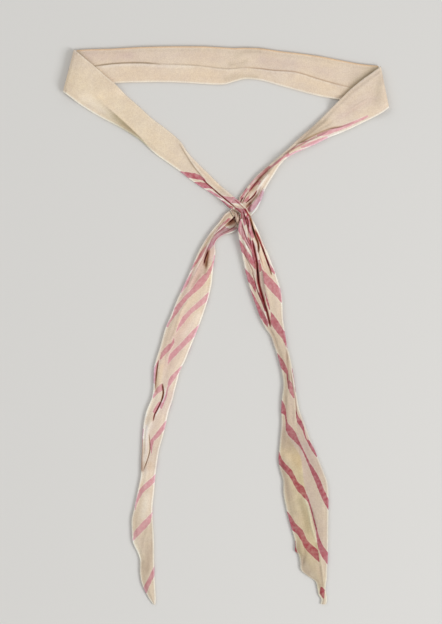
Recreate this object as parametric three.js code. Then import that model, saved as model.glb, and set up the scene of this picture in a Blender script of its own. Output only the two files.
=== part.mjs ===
// A silk cravat laid out flat: a neckband folded over at both corners, a loose half knot and two tails.
// Lengths are in millimetres. X runs across the cravat, Y up its length, and Z off the surface it lies on.
import * as THREE from "three";

// Sizes of the cloth and of the gaps between its stretches.
const BAND_DEPTH = 2.6;
const ARM_DEPTH = 2.8;
const LAYER_GAP = 0.3;
const REST_HEIGHT = BAND_DEPTH + LAYER_GAP;
const KNOT_HEIGHT = 3.3;
// The run over which an arm keeps its height past the band's edge, and then comes down to the surface.
const DRAPE_START = 3.2;
const DRAPE_END = 9.5;
// The turned edge at a corner, measured inwards from the fold line, how much shorter it is at each end, and
// the short run in which it gives way to the arm above it.
const TURN_WALL = 1.2;
const TURN_SHORTER = 0.2;
const TURN_LEDGE = 0.02;
// How finely a stretch and its folds are divided.
const LONGEST_STEP = 6.5;
const FOLD_STEPS = 10;
const TOP_POINTS = 16;
const BASE_POINTS = 6;
// Where the underside and the top stop short of a stretch's edge. All of this scales down on a stretch that
// is narrower than the narrow width.
const BASE_MARGIN = 0.8;
const TOP_MARGIN = 1.12;
const NARROW_WIDTH = 6;
// The run over which the top rounds off towards an edge, its drop there, and the run over which a fold ends.
const EDGE_RUN = 2.5;
const EDGE_DROP_SHARE = 0.12;
const FOLD_EDGE_RUN = 1.2;
// The share of the cloth's depth that the deepest fold leaves, and how soon a fold rises fully from its ends.
const LEAST_DEPTH_SHARE = 0.35;
const FOLD_FULLNESS = 1.6;

// Turns a list of rows into objects with the named columns.
function table(columns, rows) {
  return rows.map((row) =>
    Object.fromEntries(columns.map((column, i) => [column, row[i]])),
  );
}

// A row per section: its inner and outer edge in plan, how high it lies, and how deep its folded layers are.
const SECTION = ["innerX", "innerY", "outerX", "outerY", "lift", "depth"];
// A row per fold: a line through a start, a middle and an end in plan, how far it rises or sinks, and its
// half width. A "stepInner" or "stepOuter" is the edge of an upper layer, from the line to that side.
const FOLD = ["kind", "startX", "startY", "midX", "midY", "endX", "endY", "rise", "halfWidth"];

const BAND_SECTIONS = table(SECTION, [
  [-104.3, 192.9, -111.9, 163.4, 0, BAND_DEPTH],
  [-93.8, 193.5, -99.4, 165.9, 0, BAND_DEPTH],
  [-81.2, 193.8, -85.4, 168.7, 0, BAND_DEPTH],
  [-70.7, 194.4, -72.8, 170.0, 0, BAND_DEPTH],
  [-56.7, 195.1, -57.4, 170.3, 0, BAND_DEPTH],
  [-42.7, 195.4, -42.7, 170.4, 0, BAND_DEPTH],
  [-28.7, 195.5, -28.7, 169.9, 0, BAND_DEPTH],
  [-14.7, 195.4, -14.0, 169.0, 0, BAND_DEPTH],
  [-2.1, 194.7, -1.8, 168.8, 0, BAND_DEPTH],
  [5.6, 194.3, 6.3, 170.9, 0, BAND_DEPTH],
  [14.0, 194.5, 14.0, 172.6, 0, BAND_DEPTH],
  [25.2, 194.0, 24.5, 171.6, 0, BAND_DEPTH],
  [37.8, 192.1, 36.4, 168.3, 0, BAND_DEPTH],
  [51.8, 190.5, 49.0, 164.8, 0, BAND_DEPTH],
  [65.8, 188.5, 62.3, 161.3, 0, BAND_DEPTH],
  [79.8, 185.8, 75.6, 158.7, 0, BAND_DEPTH],
  [93.8, 183.2, 92.4, 155.8, 0, BAND_DEPTH],
  [106.4, 181.9, 112.3, 153.0, 0, BAND_DEPTH],
]);
const BAND_FOLDS = table(FOLD, [
  ["stepInner", -98.0, 180.6, -14.7, 182.4, 88.2, 165.9, -0.7, 0.8],
  ["ridge", 1.8, 179.5, 8.4, 183.0, 15.9, 186.5, 0.35, 1.4],
]);

const LEFT_ARM_SECTIONS = table(SECTION, [
  [-106.1, 193.3, -114.0, 163.5, 0, ARM_DEPTH],
  [-99.4, 187.7, -108.8, 159.7, 0, ARM_DEPTH],
  [-91.2, 180.9, -102.2, 154.7, 0, ARM_DEPTH],
  [-84.7, 175.2, -94.5, 149.7, 0, ARM_DEPTH],
  [-78.3, 169.8, -86.7, 145.2, 0, ARM_DEPTH],
  [-69.8, 161.3, -77.7, 140.6, 0, ARM_DEPTH],
  [-60.8, 153.3, -68.6, 135.4, 0, 3.0],
  [-51.9, 145.2, -59.8, 129.6, 0, 3.0],
  [-43.0, 138.5, -50.1, 120.7, 0, 2.8],
  [-35.8, 132.7, -42.7, 115.3, 0, 2.8],
  [-31.1, 128.0, -36.4, 110.9, 0, 2.8],
  [-26.9, 121.4, -31.4, 107.3, 0, 2.8],
  [-19.9, 113.9, -23.8, 101.4, 0, 3.0],
  [-12.6, 106.7, -16.8, 96.7, 0, 3.2],
  [-4.6, 98.8, -9.8, 92.3, 0.2, 3.5],
  [2.1, 93.3, -3.5, 87.6, 1.8, 3.6],
  [6.6, 89.4, 1.4, 82.9, KNOT_HEIGHT, 3.6],
]);
const LEFT_ARM_FOLDS = table(FOLD, [
  ["ridge", -89.4, 159.5, -75.6, 145.2, -60.8, 131.0, 0.6, 1.8],
  ["valley", -81.2, 157.8, -71.4, 149.4, -60.2, 139.6, 0.4, 2.2],
  ["stepInner", -37.0, 134.7, -15.3, 103.2, 8.0, 81.9, 0.9, 0.8],
]);

const RIGHT_ARM_SECTIONS = table(SECTION, [
  [108.1, 181.4, 114.0, 152.5, 0, ARM_DEPTH],
  [101.5, 176.5, 109.9, 149.4, 0, ARM_DEPTH],
  [94.5, 171.5, 104.3, 146.2, 0, ARM_DEPTH],
  [86.9, 165.2, 95.5, 142.0, 0, ARM_DEPTH],
  [80.7, 159.2, 86.8, 137.7, 0, ARM_DEPTH],
  [72.8, 151.3, 78.4, 134.2, 0, 3.0],
  [65.3, 143.8, 71.1, 131.3, 0, 3.4],
  [58.6, 137.6, 63.7, 127.6, 0, 3.6],
  [50.5, 130.6, 54.6, 123.5, 0, 3.8],
  [44.3, 124.6, 47.9, 120.5, 0, 4.0],
  [38.9, 119.9, 42.2, 117.0, 0, 4.0],
  [33.9, 115.5, 38.0, 112.7, 0, 3.8],
  [28.7, 111.2, 34.5, 107.4, 0, 3.6],
  [22.0, 105.5, 30.0, 100.1, 0, 3.4],
  [16.4, 99.0, 26.8, 94.1, 0, 3.2],
  [12.1, 93.6, 24.7, 88.2, 0, 2.9],
  [9.7, 90.5, 22.0, 81.9, 0, 2.7],
  [8.8, 87.5, 17.8, 76.8, 0, 2.6],
]);
const RIGHT_ARM_FOLDS = table(FOLD, [
  ["ridge", 94.7, 155.6, 88.2, 151.5, 82.2, 147.5, 0.5, 1.8],
  ["stepOuter", 87.1, 140.3, 67.2, 133.3, 47.9, 126.4, 0.7, 0.9],
  ["ridge", 28.2, 103.7, 25.9, 99.0, 23.1, 93.4, 0.5, 1.2],
  ["valley", 21.1, 94.7, 18.2, 91.0, 15.0, 87.1, 1.2, 1.2],
]);

const KNOT_OVER_SECTIONS = table(SECTION, [
  [7.0, 89.0, 1.8, 82.5, KNOT_HEIGHT, 3.6],
  [10.8, 85.8, 5.9, 81.2, KNOT_HEIGHT, 4.2],
  [14.3, 82.2, 9.8, 78.4, KNOT_HEIGHT, 4.4],
  [17.6, 76.0, 9.9, 75.0, KNOT_HEIGHT, 4.2],
]);
const KNOT_OVER_FOLDS = table(FOLD, [
  ["valley", 2.1, 85.8, 7.0, 81.9, 11.9, 77.3, 0.9, 0.9],
  ["ridge", 7.0, 85.8, 10.8, 82.9, 14.7, 78.0, 0.6, 0.9],
]);

const KNOT_WRAP_SECTIONS = table(SECTION, [
  [3.2, 80.7, 5.3, 80.3, KNOT_HEIGHT, 1.8],
  [5.5, 78.6, 7.8, 78.9, KNOT_HEIGHT, 2.8],
  [6.4, 75.9, 9.3, 76.3, KNOT_HEIGHT, 2.8],
  [6.9, 73.8, 9.1, 73.6, KNOT_HEIGHT, 2.4],
  [7.4, 72.0, 8.4, 71.8, KNOT_HEIGHT, 1.4],
]);

const KNOT_UNDER_SECTIONS = table(SECTION, [
  [8.3, 87.0, 17.2, 76.2, 0, 2.6],
  [4.9, 83.6, 13.3, 72.4, 0, 2.6],
  [2.8, 80.8, 9.4, 68.9, 0, 2.6],
]);

const LEFT_TAIL_SECTIONS = table(SECTION, [
  [2.3, 80.3, 8.9, 68.5, 0, 2.7],
  [-0.8, 78.1, 6.6, 66.1, 0, 2.9],
  [-4.9, 72.6, 2.8, 64.5, 0, 3.2],
  [-9.8, 66.7, -2.4, 63.1, 0, 3.2],
  [-13.6, 61.4, -7.5, 58.4, 0, 3.2],
  [-17.8, 54.5, -7.3, 51.4, 0, 3.2],
  [-21.0, 47.9, -8.4, 44.4, 0, 3.2],
  [-23.8, 40.9, -9.1, 38.8, 0, 3.0],
  [-27.9, 31.7, -10.0, 29.7, 0, 2.8],
  [-31.1, 24.8, -11.5, 22.4, 0, 2.6],
  [-34.4, 17.8, -13.6, 15.0, 0, 2.6],
  [-38.7, 7.1, -17.4, 3.8, 0, 2.6],
  [-42.8, -2.7, -21.3, -6.3, 0, 2.6],
  [-45.7, -13.5, -25.3, -16.1, 0, 2.6],
  [-48.4, -22.0, -28.7, -24.5, 0, 2.6],
  [-50.3, -29.7, -32.0, -31.1, 0, 2.7],
  [-50.6, -36.8, -33.9, -38.1, 0, 2.8],
  [-50.8, -43.8, -35.6, -44.4, 0, 2.8],
  [-52.1, -50.8, -37.4, -51.8, 0, 2.8],
  [-55.6, -59.5, -40.2, -60.2, 0, 2.8],
  [-57.5, -67.5, -42.0, -68.6, 0, 2.6],
  [-58.4, -77.3, -44.4, -78.4, 0, 2.6],
  [-58.8, -86.4, -46.8, -87.1, 0, 2.6],
  [-59.3, -96.9, -48.4, -97.6, 0, 2.6],
  [-59.7, -105.3, -49.5, -106.0, 0, 2.5],
  [-61.9, -116.2, -50.3, -116.5, 0, 2.4],
  [-64.0, -126.3, -51.4, -126.0, 0, 2.4],
  [-66.0, -135.4, -51.2, -136.1, 0, 2.4],
  [-65.9, -143.1, -50.7, -143.8, 0, 2.4],
  [-65.2, -151.5, -50.3, -153.6, 0, 2.4],
  [-61.5, -159.6, -50.3, -162.8, 0, 2.2],
  [-60.2, -164.8, -50.2, -168.3, 0, 2.2],
  [-60.2, -173.2, -50.0, -176.0, 0, 2.0],
  [-58.4, -182.0, -49.6, -183.0, 0, 2.0],
  [-53.9, -190.8, -49.1, -191.1, 0, 1.8],
  [-50.8, -195.2, -49.3, -194.9, 0, 1.4],
]);
const LEFT_TAIL_FOLDS = table(FOLD, [
  ["valley", 6.7, 77.0, 3.7, 74.3, -0.7, 70.0, 1.2, 1.3],
  ["stepInner", 3.5, 74.3, -4.8, 66.2, -13.6, 53.1, 0.7, 0.8],
  ["ridge", -13.6, 53.1, -20.8, 40.9, -32.2, 23.2, 0.6, 1.2],
  ["valley", -12.9, 51.8, -14.9, 47.2, -14.3, 38.8, 1.3, 1.1],
  ["ridge", -28.8, 13.5, -33.2, 3.1, -38.7, -10.0, 0.6, 1.4],
  ["ridge", -39.2, -17.8, -41.6, -25.5, -43.4, -35.3, 0.5, 1.3],
  ["valley", -47.4, -26.9, -48.7, -33.5, -49.5, -42.6, 1.2, 1.0],
  ["valley", -44.4, -41.6, -44.7, -51.4, -50.9, -66.0, 1.3, 1.1],
  ["valley", -53.8, -76.9, -53.5, -88.3, -58.1, -101.8, 0.8, 1.0],
  ["ridge", -60.2, -109.5, -61.6, -125.6, -61.6, -143.1, 0.4, 1.6],
  ["valley", -62.3, -154.3, -58.1, -164.1, -56.0, -179.5, 0.5, 1.2],
]);

const RIGHT_TAIL_SECTIONS = table(SECTION, [
  [10.0, 74.5, 17.7, 75.5, KNOT_HEIGHT, 4.2],
  [8.5, 67.5, 22.0, 67.2, KNOT_HEIGHT, 4.4],
  [9.1, 60.5, 24.8, 60.2, 1.6, 5.4],
  [10.8, 51.8, 28.7, 51.8, 0, 5.6],
  [12.9, 41.1, 33.0, 41.1, 0, 4.8],
  [15.0, 32.7, 35.9, 32.7, 0, 4.6],
  [17.8, 23.0, 38.6, 23.0, 0, 4.4],
  [20.6, 15.0, 39.4, 15.0, 0, 4.4],
  [24.4, 4.7, 39.8, 5.6, 0, 4.2],
  [27.8, -2.2, 40.7, -1.4, 0, 3.8],
  [31.2, -7.1, 41.7, -8.0, 0, 3.6],
  [33.4, -13.4, 42.8, -14.7, 0, 3.4],
  [35.6, -19.7, 44.5, -20.6, 0, 3.4],
  [38.2, -28.7, 46.2, -28.7, 0, 3.4],
  [39.8, -36.7, 47.5, -36.7, 0, 3.4],
  [40.0, -42.9, 48.4, -42.9, 0, 3.2],
  [39.1, -50.0, 49.5, -50.0, 0, 3.0],
  [38.6, -58.4, 51.3, -58.8, 0, 2.8],
  [38.8, -67.9, 54.7, -67.9, 0, 2.6],
  [38.1, -76.3, 57.7, -76.3, 0, 2.5],
  [37.3, -85.7, 61.5, -85.8, 0, 2.4],
  [36.7, -92.0, 64.3, -92.4, 0, 2.4],
  [37.1, -97.3, 66.4, -97.6, 0, 2.4],
  [38.5, -103.2, 68.9, -103.9, 0, 2.4],
  [40.0, -109.2, 70.8, -109.5, 0, 2.4],
  [40.2, -117.2, 71.7, -117.9, 0, 2.4],
  [42.1, -127.7, 71.7, -127.7, 0, 2.4],
  [44.2, -136.1, 71.6, -136.1, 0, 2.4],
  [46.8, -145.2, 71.5, -145.2, 0, 2.4],
  [48.3, -151.1, 71.5, -151.5, 0, 2.4],
  [48.4, -157.5, 71.3, -157.8, 0, 2.3],
  [50.7, -160.1, 71.3, -161.0, 0, 2.3],
  [51.7, -165.5, 71.0, -166.6, 0, 2.2],
  [52.5, -171.1, 70.7, -172.2, 0, 2.2],
  [57.4, -175.3, 70.5, -176.8, 0, 2.1],
  [62.4, -178.8, 69.9, -180.9, 0, 2.0],
  [63.9, -183.8, 69.6, -184.4, 0, 2.0],
  [64.8, -188.3, 70.2, -188.3, 0, 1.9],
  [66.7, -191.4, 70.6, -191.8, 0, 1.8],
  [66.1, -194.6, 70.2, -194.9, 0, 1.5],
]);
const RIGHT_TAIL_FOLDS = table(FOLD, [
  ["valley", 16.8, 73.1, 20.8, 55.6, 22.4, 34.3, 2.0, 1.2],
  ["valley", 22.4, 36.3, 26.2, 17.3, 31.1, -1.8, 2.2, 1.2],
  ["valley", 21.7, 66.4, 26.6, 54.9, 31.5, 37.4, 1.5, 1.1],
  ["valley", 14.0, 73.1, 15.7, 64.0, 17.5, 54.9, 0.9, 0.9],
  ["valley", 11.2, 67.5, 13.3, 56.3, 16.8, 44.4, 0.7, 0.9],
  ["ridge", 12.6, 59.8, 16.8, 51.4, 19.9, 43.0, 0.5, 1.0],
  ["ridge", 23.8, 53.5, 25.1, 40.9, 26.6, 23.4, 0.5, 1.2],
  ["ridge", 20.4, 36.4, 23.1, 23.9, 29.7, -0.3, 0.5, 1.0],
  ["valley", 44.2, -25.5, 46.4, -41.6, 49.2, -56.3, 0.7, 1.1],
  ["ridge", 48.0, -49.3, 48.0, -67.5, 51.7, -87.1, 0.6, 1.8],
  ["ridge", 51.7, -87.1, 53.5, -101.1, 55.6, -119.3, 0.7, 2.0],
  ["ridge", 55.6, -119.3, 59.6, -135.4, 64.4, -155.8, 0.7, 1.8],
  ["valley", 58.0, -122.1, 61.7, -136.1, 64.0, -148.8, 0.6, 1.3],
  ["ridge", 42.7, -87.1, 45.5, -93.4, 47.2, -101.1, 0.5, 3.2],
  ["valley", 42.0, -78.0, 40.6, -88.5, 42.7, -98.3, 0.4, 2.4],
  ["valley", 55.3, -161.3, 59.5, -168.3, 64.4, -178.1, 0.5, 1.4],
]);

function smoothstep(low, high, value) {
  const x = Math.min(1, Math.max(0, (value - low) / (high - low)));
  return x * x * (3 - 2 * x);
}

// A smooth curve through the rows: every column of a section is eased between its neighbours.
function between(rows, i, x) {
  const at = (k) => rows[Math.min(rows.length - 1, Math.max(0, k))];
  const [p, q, r, s] = [at(i - 1), at(i), at(i + 1), at(i + 2)];
  const row = {};
  for (const key of SECTION) {
    const a = 2 * q[key];
    const b = r[key] - p[key];
    const c = 2 * p[key] - 5 * q[key] + 4 * r[key] - s[key];
    const d = 3 * q[key] - p[key] - 3 * r[key] + s[key];
    row[key] = (a + b * x + c * x * x + d * x * x * x) / 2;
  }
  row.lift = THREE.MathUtils.lerp(q.lift, r.lift, smoothstep(0, 1, x));
  return row;
}

function centre(row) {
  return new THREE.Vector2((row.innerX + row.outerX) / 2, (row.innerY + row.outerY) / 2);
}

// The rows with more put between them, so that no two stations are further apart than the longest step.
function stations(rows) {
  const out = [];
  for (let i = 0; i < rows.length - 1; i++) {
    const run = centre(rows[i]).distanceTo(centre(rows[i + 1]));
    const parts = Math.ceil(run / LONGEST_STEP);
    for (let k = 0; k < parts; k++) out.push(between(rows, i, k / parts));
  }
  out.push(rows[rows.length - 1]);
  return out;
}

// The lower edge of the neckband at a place across the cravat.
function bandEdge(x) {
  const rows = BAND_SECTIONS;
  let i = 0;
  while (i < rows.length - 2 && rows[i + 1].outerX < x) i++;
  const share = (x - rows[i].outerX) / (rows[i + 1].outerX - rows[i].outerX);
  return THREE.MathUtils.lerp(rows[i].outerY, rows[i + 1].outerY, share);
}

// How high an arm lies at a point: on top of the neckband, then down to the surface past the band's edge.
function restHeight(x, y) {
  return REST_HEIGHT * (1 - smoothstep(DRAPE_START, DRAPE_END, bandEdge(x) - y));
}

// The rise of one fold at a point in plan. `across` points from the inner to the outer edge.
function foldRise(fold, x, y, across) {
  let nearest = Infinity;
  let along = 0;
  let toPoint = new THREE.Vector2();
  for (let k = 0; k < FOLD_STEPS; k++) {
    const ends = [k / FOLD_STEPS, (k + 1) / FOLD_STEPS].map((q) => {
      const bend = 2 * q * (1 - q);
      const pick = (a, m, b) => {
        const control = 2 * m - (a + b) / 2;
        return (1 - q) * (1 - q) * a + bend * control + q * q * b;
      };
      return new THREE.Vector2(
        pick(fold.startX, fold.midX, fold.endX),
        pick(fold.startY, fold.midY, fold.endY),
      );
    });
    const line = ends[1].clone().sub(ends[0]);
    const offset = new THREE.Vector2(x, y).sub(ends[0]);
    const share = Math.min(1, Math.max(0, offset.dot(line) / line.lengthSq()));
    const gap = offset.sub(line.multiplyScalar(share));
    if (gap.length() < nearest) {
      nearest = gap.length();
      along = (k + share) / FOLD_STEPS;
      toPoint = gap;
    }
  }
  const fade = Math.sqrt(Math.min(1, 4 * along * (1 - along) * FOLD_FULLNESS));
  const side = Math.sign(toPoint.dot(across)) * nearest;
  const step = (distance) => fold.rise * fade * smoothstep(-fold.halfWidth, fold.halfWidth, distance);
  if (fold.kind === "stepOuter") return step(side);
  if (fold.kind === "stepInner") return step(-side);
  const bump = Math.exp(-((nearest / fold.halfWidth) ** 2));
  return (fold.kind === "valley" ? -fold.rise : fold.rise) * fade * bump;
}

// The side of a section from its foot to its top: how far in from the edge, and at what share of the depth.
const SIDES = {
  folded: [
    { inset: 0.45, level: 0.08 },
    { inset: 0.1, level: 0.3 },
    { inset: 0, level: 0.5 },
    { inset: 0.1, level: 0.7 },
    { inset: 0.5, level: 0.9 },
  ],
  layered: [
    { inset: 0.2, level: 0.1 },
    { inset: 0, level: 0.28 },
    { inset: 0.5, level: 0.44 },
    { inset: 0, level: 0.6 },
    { inset: 0.4, level: 0.88 },
  ],
};

// One closed outline across the stretch at a station, as points { share, x, y, z } from edge to edge.
function ring(row, stretch) {
  const across = new THREE.Vector2(row.outerX - row.innerX, row.outerY - row.innerY);
  const width = across.length();
  const inset = Math.min(1, width / NARROW_WIDTH);
  const place = (share, level) => {
    const x = row.innerX + across.x * share;
    const y = row.innerY + across.y * share;
    const base = stretch.isArm && !row.flat ? Math.max(row.lift, restHeight(x, y)) : row.lift;
    return { share, x, y, z: base + level * row.depth };
  };
  const points = [];
  const margin = (BASE_MARGIN * inset) / width;
  const topMargin = (TOP_MARGIN * inset) / width;
  for (let k = 0; k < BASE_POINTS; k++)
    points.push(place(margin + ((1 - 2 * margin) * k) / (BASE_POINTS - 1), 0));
  for (const step of SIDES[stretch.outerSide])
    points.push(place(1 - (step.inset * inset) / width, step.level));
  for (let k = 0; k < TOP_POINTS; k++) {
    const share = 1 - topMargin - ((1 - 2 * topMargin) * k) / (TOP_POINTS - 1);
    const point = place(share, 0);
    const floor = point.z + LEAST_DEPTH_SHARE * row.depth;
    const edge = Math.min(share, 1 - share) * width;
    const round = 1 - EDGE_DROP_SHARE * (1 - smoothstep(0, EDGE_RUN * inset, edge));
    let top = point.z + row.depth * round;
    if (!row.flat)
      for (const fold of stretch.folds)
        top += foldRise(fold, point.x, point.y, across) * smoothstep(0, FOLD_EDGE_RUN * inset, edge);
    point.z = Math.max(floor, top);
    points.push(point);
  }
  for (const step of [...SIDES[stretch.innerSide]].reverse())
    points.push(place((step.inset * inset) / width, step.level));
  return points;
}

// A closed solid through the rings, with its first and last ring filled in.
function loft(rings) {
  const position = rings.flat().flatMap((p) => [p.x, p.y, p.z]);
  const n = rings[0].length;
  const index = [];
  for (let i = 0; i < rings.length - 1; i++)
    for (let k = 0; k < n; k++) {
      const a = i * n + k;
      const b = i * n + ((k + 1) % n);
      index.push(a, b, b + n, a, b + n, a + n);
    }
  const cap = (points, first, flip) => {
    const width = Math.hypot(points[0].x - points[n >> 1].x, points[0].y - points[n >> 1].y) + 1;
    const flat = points.map((p) => new THREE.Vector2(p.share * width, p.z));
    for (const [a, b, c] of THREE.ShapeUtils.triangulateShape(flat, []))
      index.push(first + a, ...(flip ? [first + c, first + b] : [first + b, first + c]));
  };
  cap(rings[0], 0, true);
  cap(rings[rings.length - 1], (rings.length - 1) * n, false);
  if (signedVolume(position, index) < 0)
    for (let i = 0; i < index.length; i += 3)
      [index[i + 1], index[i + 2]] = [index[i + 2], index[i + 1]];
  const geometry = new THREE.BufferGeometry();
  geometry.setAttribute("position", new THREE.Float32BufferAttribute(position, 3));
  geometry.setIndex(index);
  geometry.computeVertexNormals();
  return geometry;
}

function signedVolume(position, index) {
  const corner = (i) => new THREE.Vector3().fromArray(position, 3 * i);
  let volume = 0;
  for (let i = 0; i < index.length; i += 3)
    volume += corner(index[i]).dot(corner(index[i + 1]).cross(corner(index[i + 2])));
  return volume / 6;
}

// A row per station of a turned edge: how far in it is, how high its foot is, and what its depth lacks.
const TURN = table(["run", "lift", "lessDepth"], [
  [0, 1.3, 2.6],
  [0.35, 0.35, 0.8],
  [0.9, 0, 0],
  [TURN_WALL, 0, 0],
]);

// The stations where an arm turns round the neckband's end: a wall that stands from the surface to the arm.
function cornerTurn(rows) {
  const fold = rows[0];
  const line = new THREE.Vector2(fold.outerX - fold.innerX, fold.outerY - fold.innerY).normalize();
  const inwards = new THREE.Vector2(-line.y, line.x);
  if (inwards.dot(centre(rows[1]).sub(centre(fold))) < 0) inwards.negate();
  const height = REST_HEIGHT + fold.depth;
  const moved = (run, lift, depth) => ({
    innerX: fold.innerX + inwards.x * run + line.x * TURN_SHORTER,
    innerY: fold.innerY + inwards.y * run + line.y * TURN_SHORTER,
    outerX: fold.outerX + inwards.x * run - line.x * TURN_SHORTER,
    outerY: fold.outerY + inwards.y * run - line.y * TURN_SHORTER,
    lift,
    depth,
    flat: true,
  });
  const wall = TURN.map((station) => moved(station.run, station.lift, height - station.lessDepth));
  return [...wall, moved(TURN_WALL + TURN_LEDGE, REST_HEIGHT, fold.depth)];
}

const SILK = { color: 0xe2d4bd, roughness: 0.55, metalness: 0 };
// A row per stretch. An arm turns round the neckband's end and rests on the band.
const STRETCHES = table(["name", "sections", "folds", "innerSide", "outerSide", "isArm"], [
  ["neckband_back", BAND_SECTIONS, BAND_FOLDS, "layered", "folded", false],
  ["neckband_left", LEFT_ARM_SECTIONS, LEFT_ARM_FOLDS, "folded", "layered", true],
  ["neckband_right", RIGHT_ARM_SECTIONS, RIGHT_ARM_FOLDS, "folded", "layered", true],
  ["knot_over", KNOT_OVER_SECTIONS, KNOT_OVER_FOLDS, "layered", "layered", false],
  ["knot_wrap", KNOT_WRAP_SECTIONS, [], "folded", "folded", false],
  ["knot_under", KNOT_UNDER_SECTIONS, [], "folded", "folded", false],
  ["tail_left", LEFT_TAIL_SECTIONS, LEFT_TAIL_FOLDS, "layered", "folded", false],
  ["tail_right", RIGHT_TAIL_SECTIONS, RIGHT_TAIL_FOLDS, "layered", "layered", false],
]);

const cravat = new THREE.Group();
for (const stretch of STRETCHES) {
  let rows = stations(stretch.sections);
  if (stretch.isArm) rows = [...cornerTurn(stretch.sections), ...rows.slice(1)];
  const geometry = loft(rows.map((row) => ring(row, stretch)));
  const mesh = new THREE.Mesh(geometry, new THREE.MeshStandardMaterial(SILK));
  mesh.name = stretch.name;
  cravat.add(mesh);
}

// The origin is at the middle of the cravat's underside.
const bounds = new THREE.Box3().setFromObject(cravat);
const middle = bounds.getCenter(new THREE.Vector3());
cravat.position.set(-middle.x, -middle.y, -bounds.min.z);

export default cravat;
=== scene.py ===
"""A silk cravat laid out flat: a folded neckband, a loose half knot and two striped tails.

Plan tables are in millimetres in the model's frame: X across the cravat, Y up its length, Z off the surface.
"""

import logging
import math
from dataclasses import dataclass, field
from enum import Enum

import bmesh
import bpy
import numpy as np
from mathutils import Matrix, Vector


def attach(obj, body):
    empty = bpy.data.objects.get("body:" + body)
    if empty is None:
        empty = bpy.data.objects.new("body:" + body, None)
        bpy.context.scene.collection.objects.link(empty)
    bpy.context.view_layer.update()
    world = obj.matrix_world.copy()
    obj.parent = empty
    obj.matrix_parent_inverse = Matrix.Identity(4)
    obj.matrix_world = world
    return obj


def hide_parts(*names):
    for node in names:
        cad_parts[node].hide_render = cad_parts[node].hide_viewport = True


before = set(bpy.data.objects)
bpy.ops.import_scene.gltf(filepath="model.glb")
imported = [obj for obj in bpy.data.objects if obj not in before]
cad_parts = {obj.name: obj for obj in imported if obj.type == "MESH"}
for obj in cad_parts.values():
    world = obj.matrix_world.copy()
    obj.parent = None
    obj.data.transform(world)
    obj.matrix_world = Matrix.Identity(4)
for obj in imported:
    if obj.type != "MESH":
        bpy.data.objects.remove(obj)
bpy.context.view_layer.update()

log = logging.getLogger("cravat")

MM = 0.001
Point = tuple[float, float]
Colour = tuple[float, float, float]

# The frame's origin is the middle of the cravat's box, which is this far off the tables' own origin.
TABLE_SHIFT = (-0.0056, -0.1519)

# How deep the folded layers of the band and the arms are, and how high what rests on them lies.
BAND_DEPTH = 2.6
ARM_DEPTH = 2.8
REST_HEIGHT = 2.9
KNOT_HEIGHT = 3.3

# An arm comes down from the band to the surface between these two distances past the band's edge.
DRAPE_START = 3.2
DRAPE_END = 9.5

# How round the cloth turns over at the band's two ends.
TURN_RADIUS = 2.4

# The fine streaks, partly painted shade and highlights, fade out between these two distances from the knot's
# middle.
KNOT_MIDDLE = (10.5, 78.0)
GATHER_REACH = (14.0, 66.0)

# The stripes on the undersides, which no view from above shows.
UNDER_PITCH = 36.0
UNDER_SLANT = 1.2
UNDER_HALF_WIDTH = 3.4

# How many straight steps a smooth line is read in, for each of its spans.
LINE_STEPS = 6
SHADE_STEPS = 4
EDGE_STEPS = 5
SECTION_STEPS = 40

# No step of a line is counted as shorter than this.
LEAST_RUN = 1e-9

# A bump has faded to nothing this many half widths from its middle.
BELL_END = 3.0

# Points of a seam this close in metres are one.
SEAM_GAP = 1e-6

# The width in metres of one band of Blender's wave texture at scale 1.
WAVE_PITCH = 0.314


class Part(Enum):
    """The parts of a section's closed outline."""

    BASE = 0
    OUTER = 1
    TOP = 2
    INNER = 3


class Crease(Enum):
    """The kinds of fold: LEFT and RIGHT are the edge of an upper layer on that side of the line."""

    RIDGE = "ridge"
    VALLEY = "valley"
    SLIT = "slit"
    LEFT = "left"
    RIGHT = "right"


class ShadingTint(Enum):
    """Tints that multiply the silk's own colour. All but DARKER and BLUSH are painted light and shade."""

    # Painted shade: grey on faces turned from the light, and a darker shadow beside edges and in hollows.
    GREY = (0.80, 0.795, 0.77)
    SHADOW = (0.60, 0.59, 0.49)
    # Painted light and shade: the cool, light, warm and khaki casts of faces as they turn to the lamps.
    LILAC = (0.92, 0.885, 0.95)
    CREAM = (1.05, 1.02, 0.97)
    WARM = (1.02, 0.94, 0.84)
    YELLOW = (0.98, 0.97, 0.80)
    # A plain darkening, towards the tails' tips and in a few patches.
    DARKER = (0.79, 0.79, 0.76)
    # Painted shade in creases, hollows and along fold lines.
    BROWN = (0.50, 0.31, 0.17)
    # Painted highlight on rims, ridges and lips.
    BRIGHT = (1.18, 1.33, 1.48)
    # Painted light: a lighter, greener cream over the left arm's face.
    IVORY = (1.06, 1.085, 1.01)
    # Painted shade in a crease.
    ORANGE_SHADE = (0.42, 0.19, 0.06)
    # Painted highlight on the lips of folds and along ridges.
    PALE = (1.07, 1.11, 1.16)
    # Painted shade inside slits, along fold lines and in crevices.
    DEEP = (0.40, 0.004, 0.018)
    OLIVE = (0.32, 0.08, 0.005)
    WINE = (0.30, 0.04, 0.04)
    DUSK = (0.36, 0.27, 0.16)
    # Painted rim light along the band's top edge.
    TAN = (1.06, 0.78, 0.48)
    # A pinkish cast.
    BLUSH = (0.98, 0.86, 0.87)
    # Painted sheen, which turns pink towards a grey mauve.
    MAUVE = (0.91, 1.07, 1.13)


@dataclass(frozen=True)
class Fold:
    """One fold: its kind, rise, half width, how much painted shade it gets inside, its line, and the tint of
    that painted shade.
    """

    kind: Crease
    rise: float
    half_width: float
    shade: float
    line: tuple[Point, ...]
    tint_and_shade: ShadingTint = ShadingTint.WINE


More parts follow.
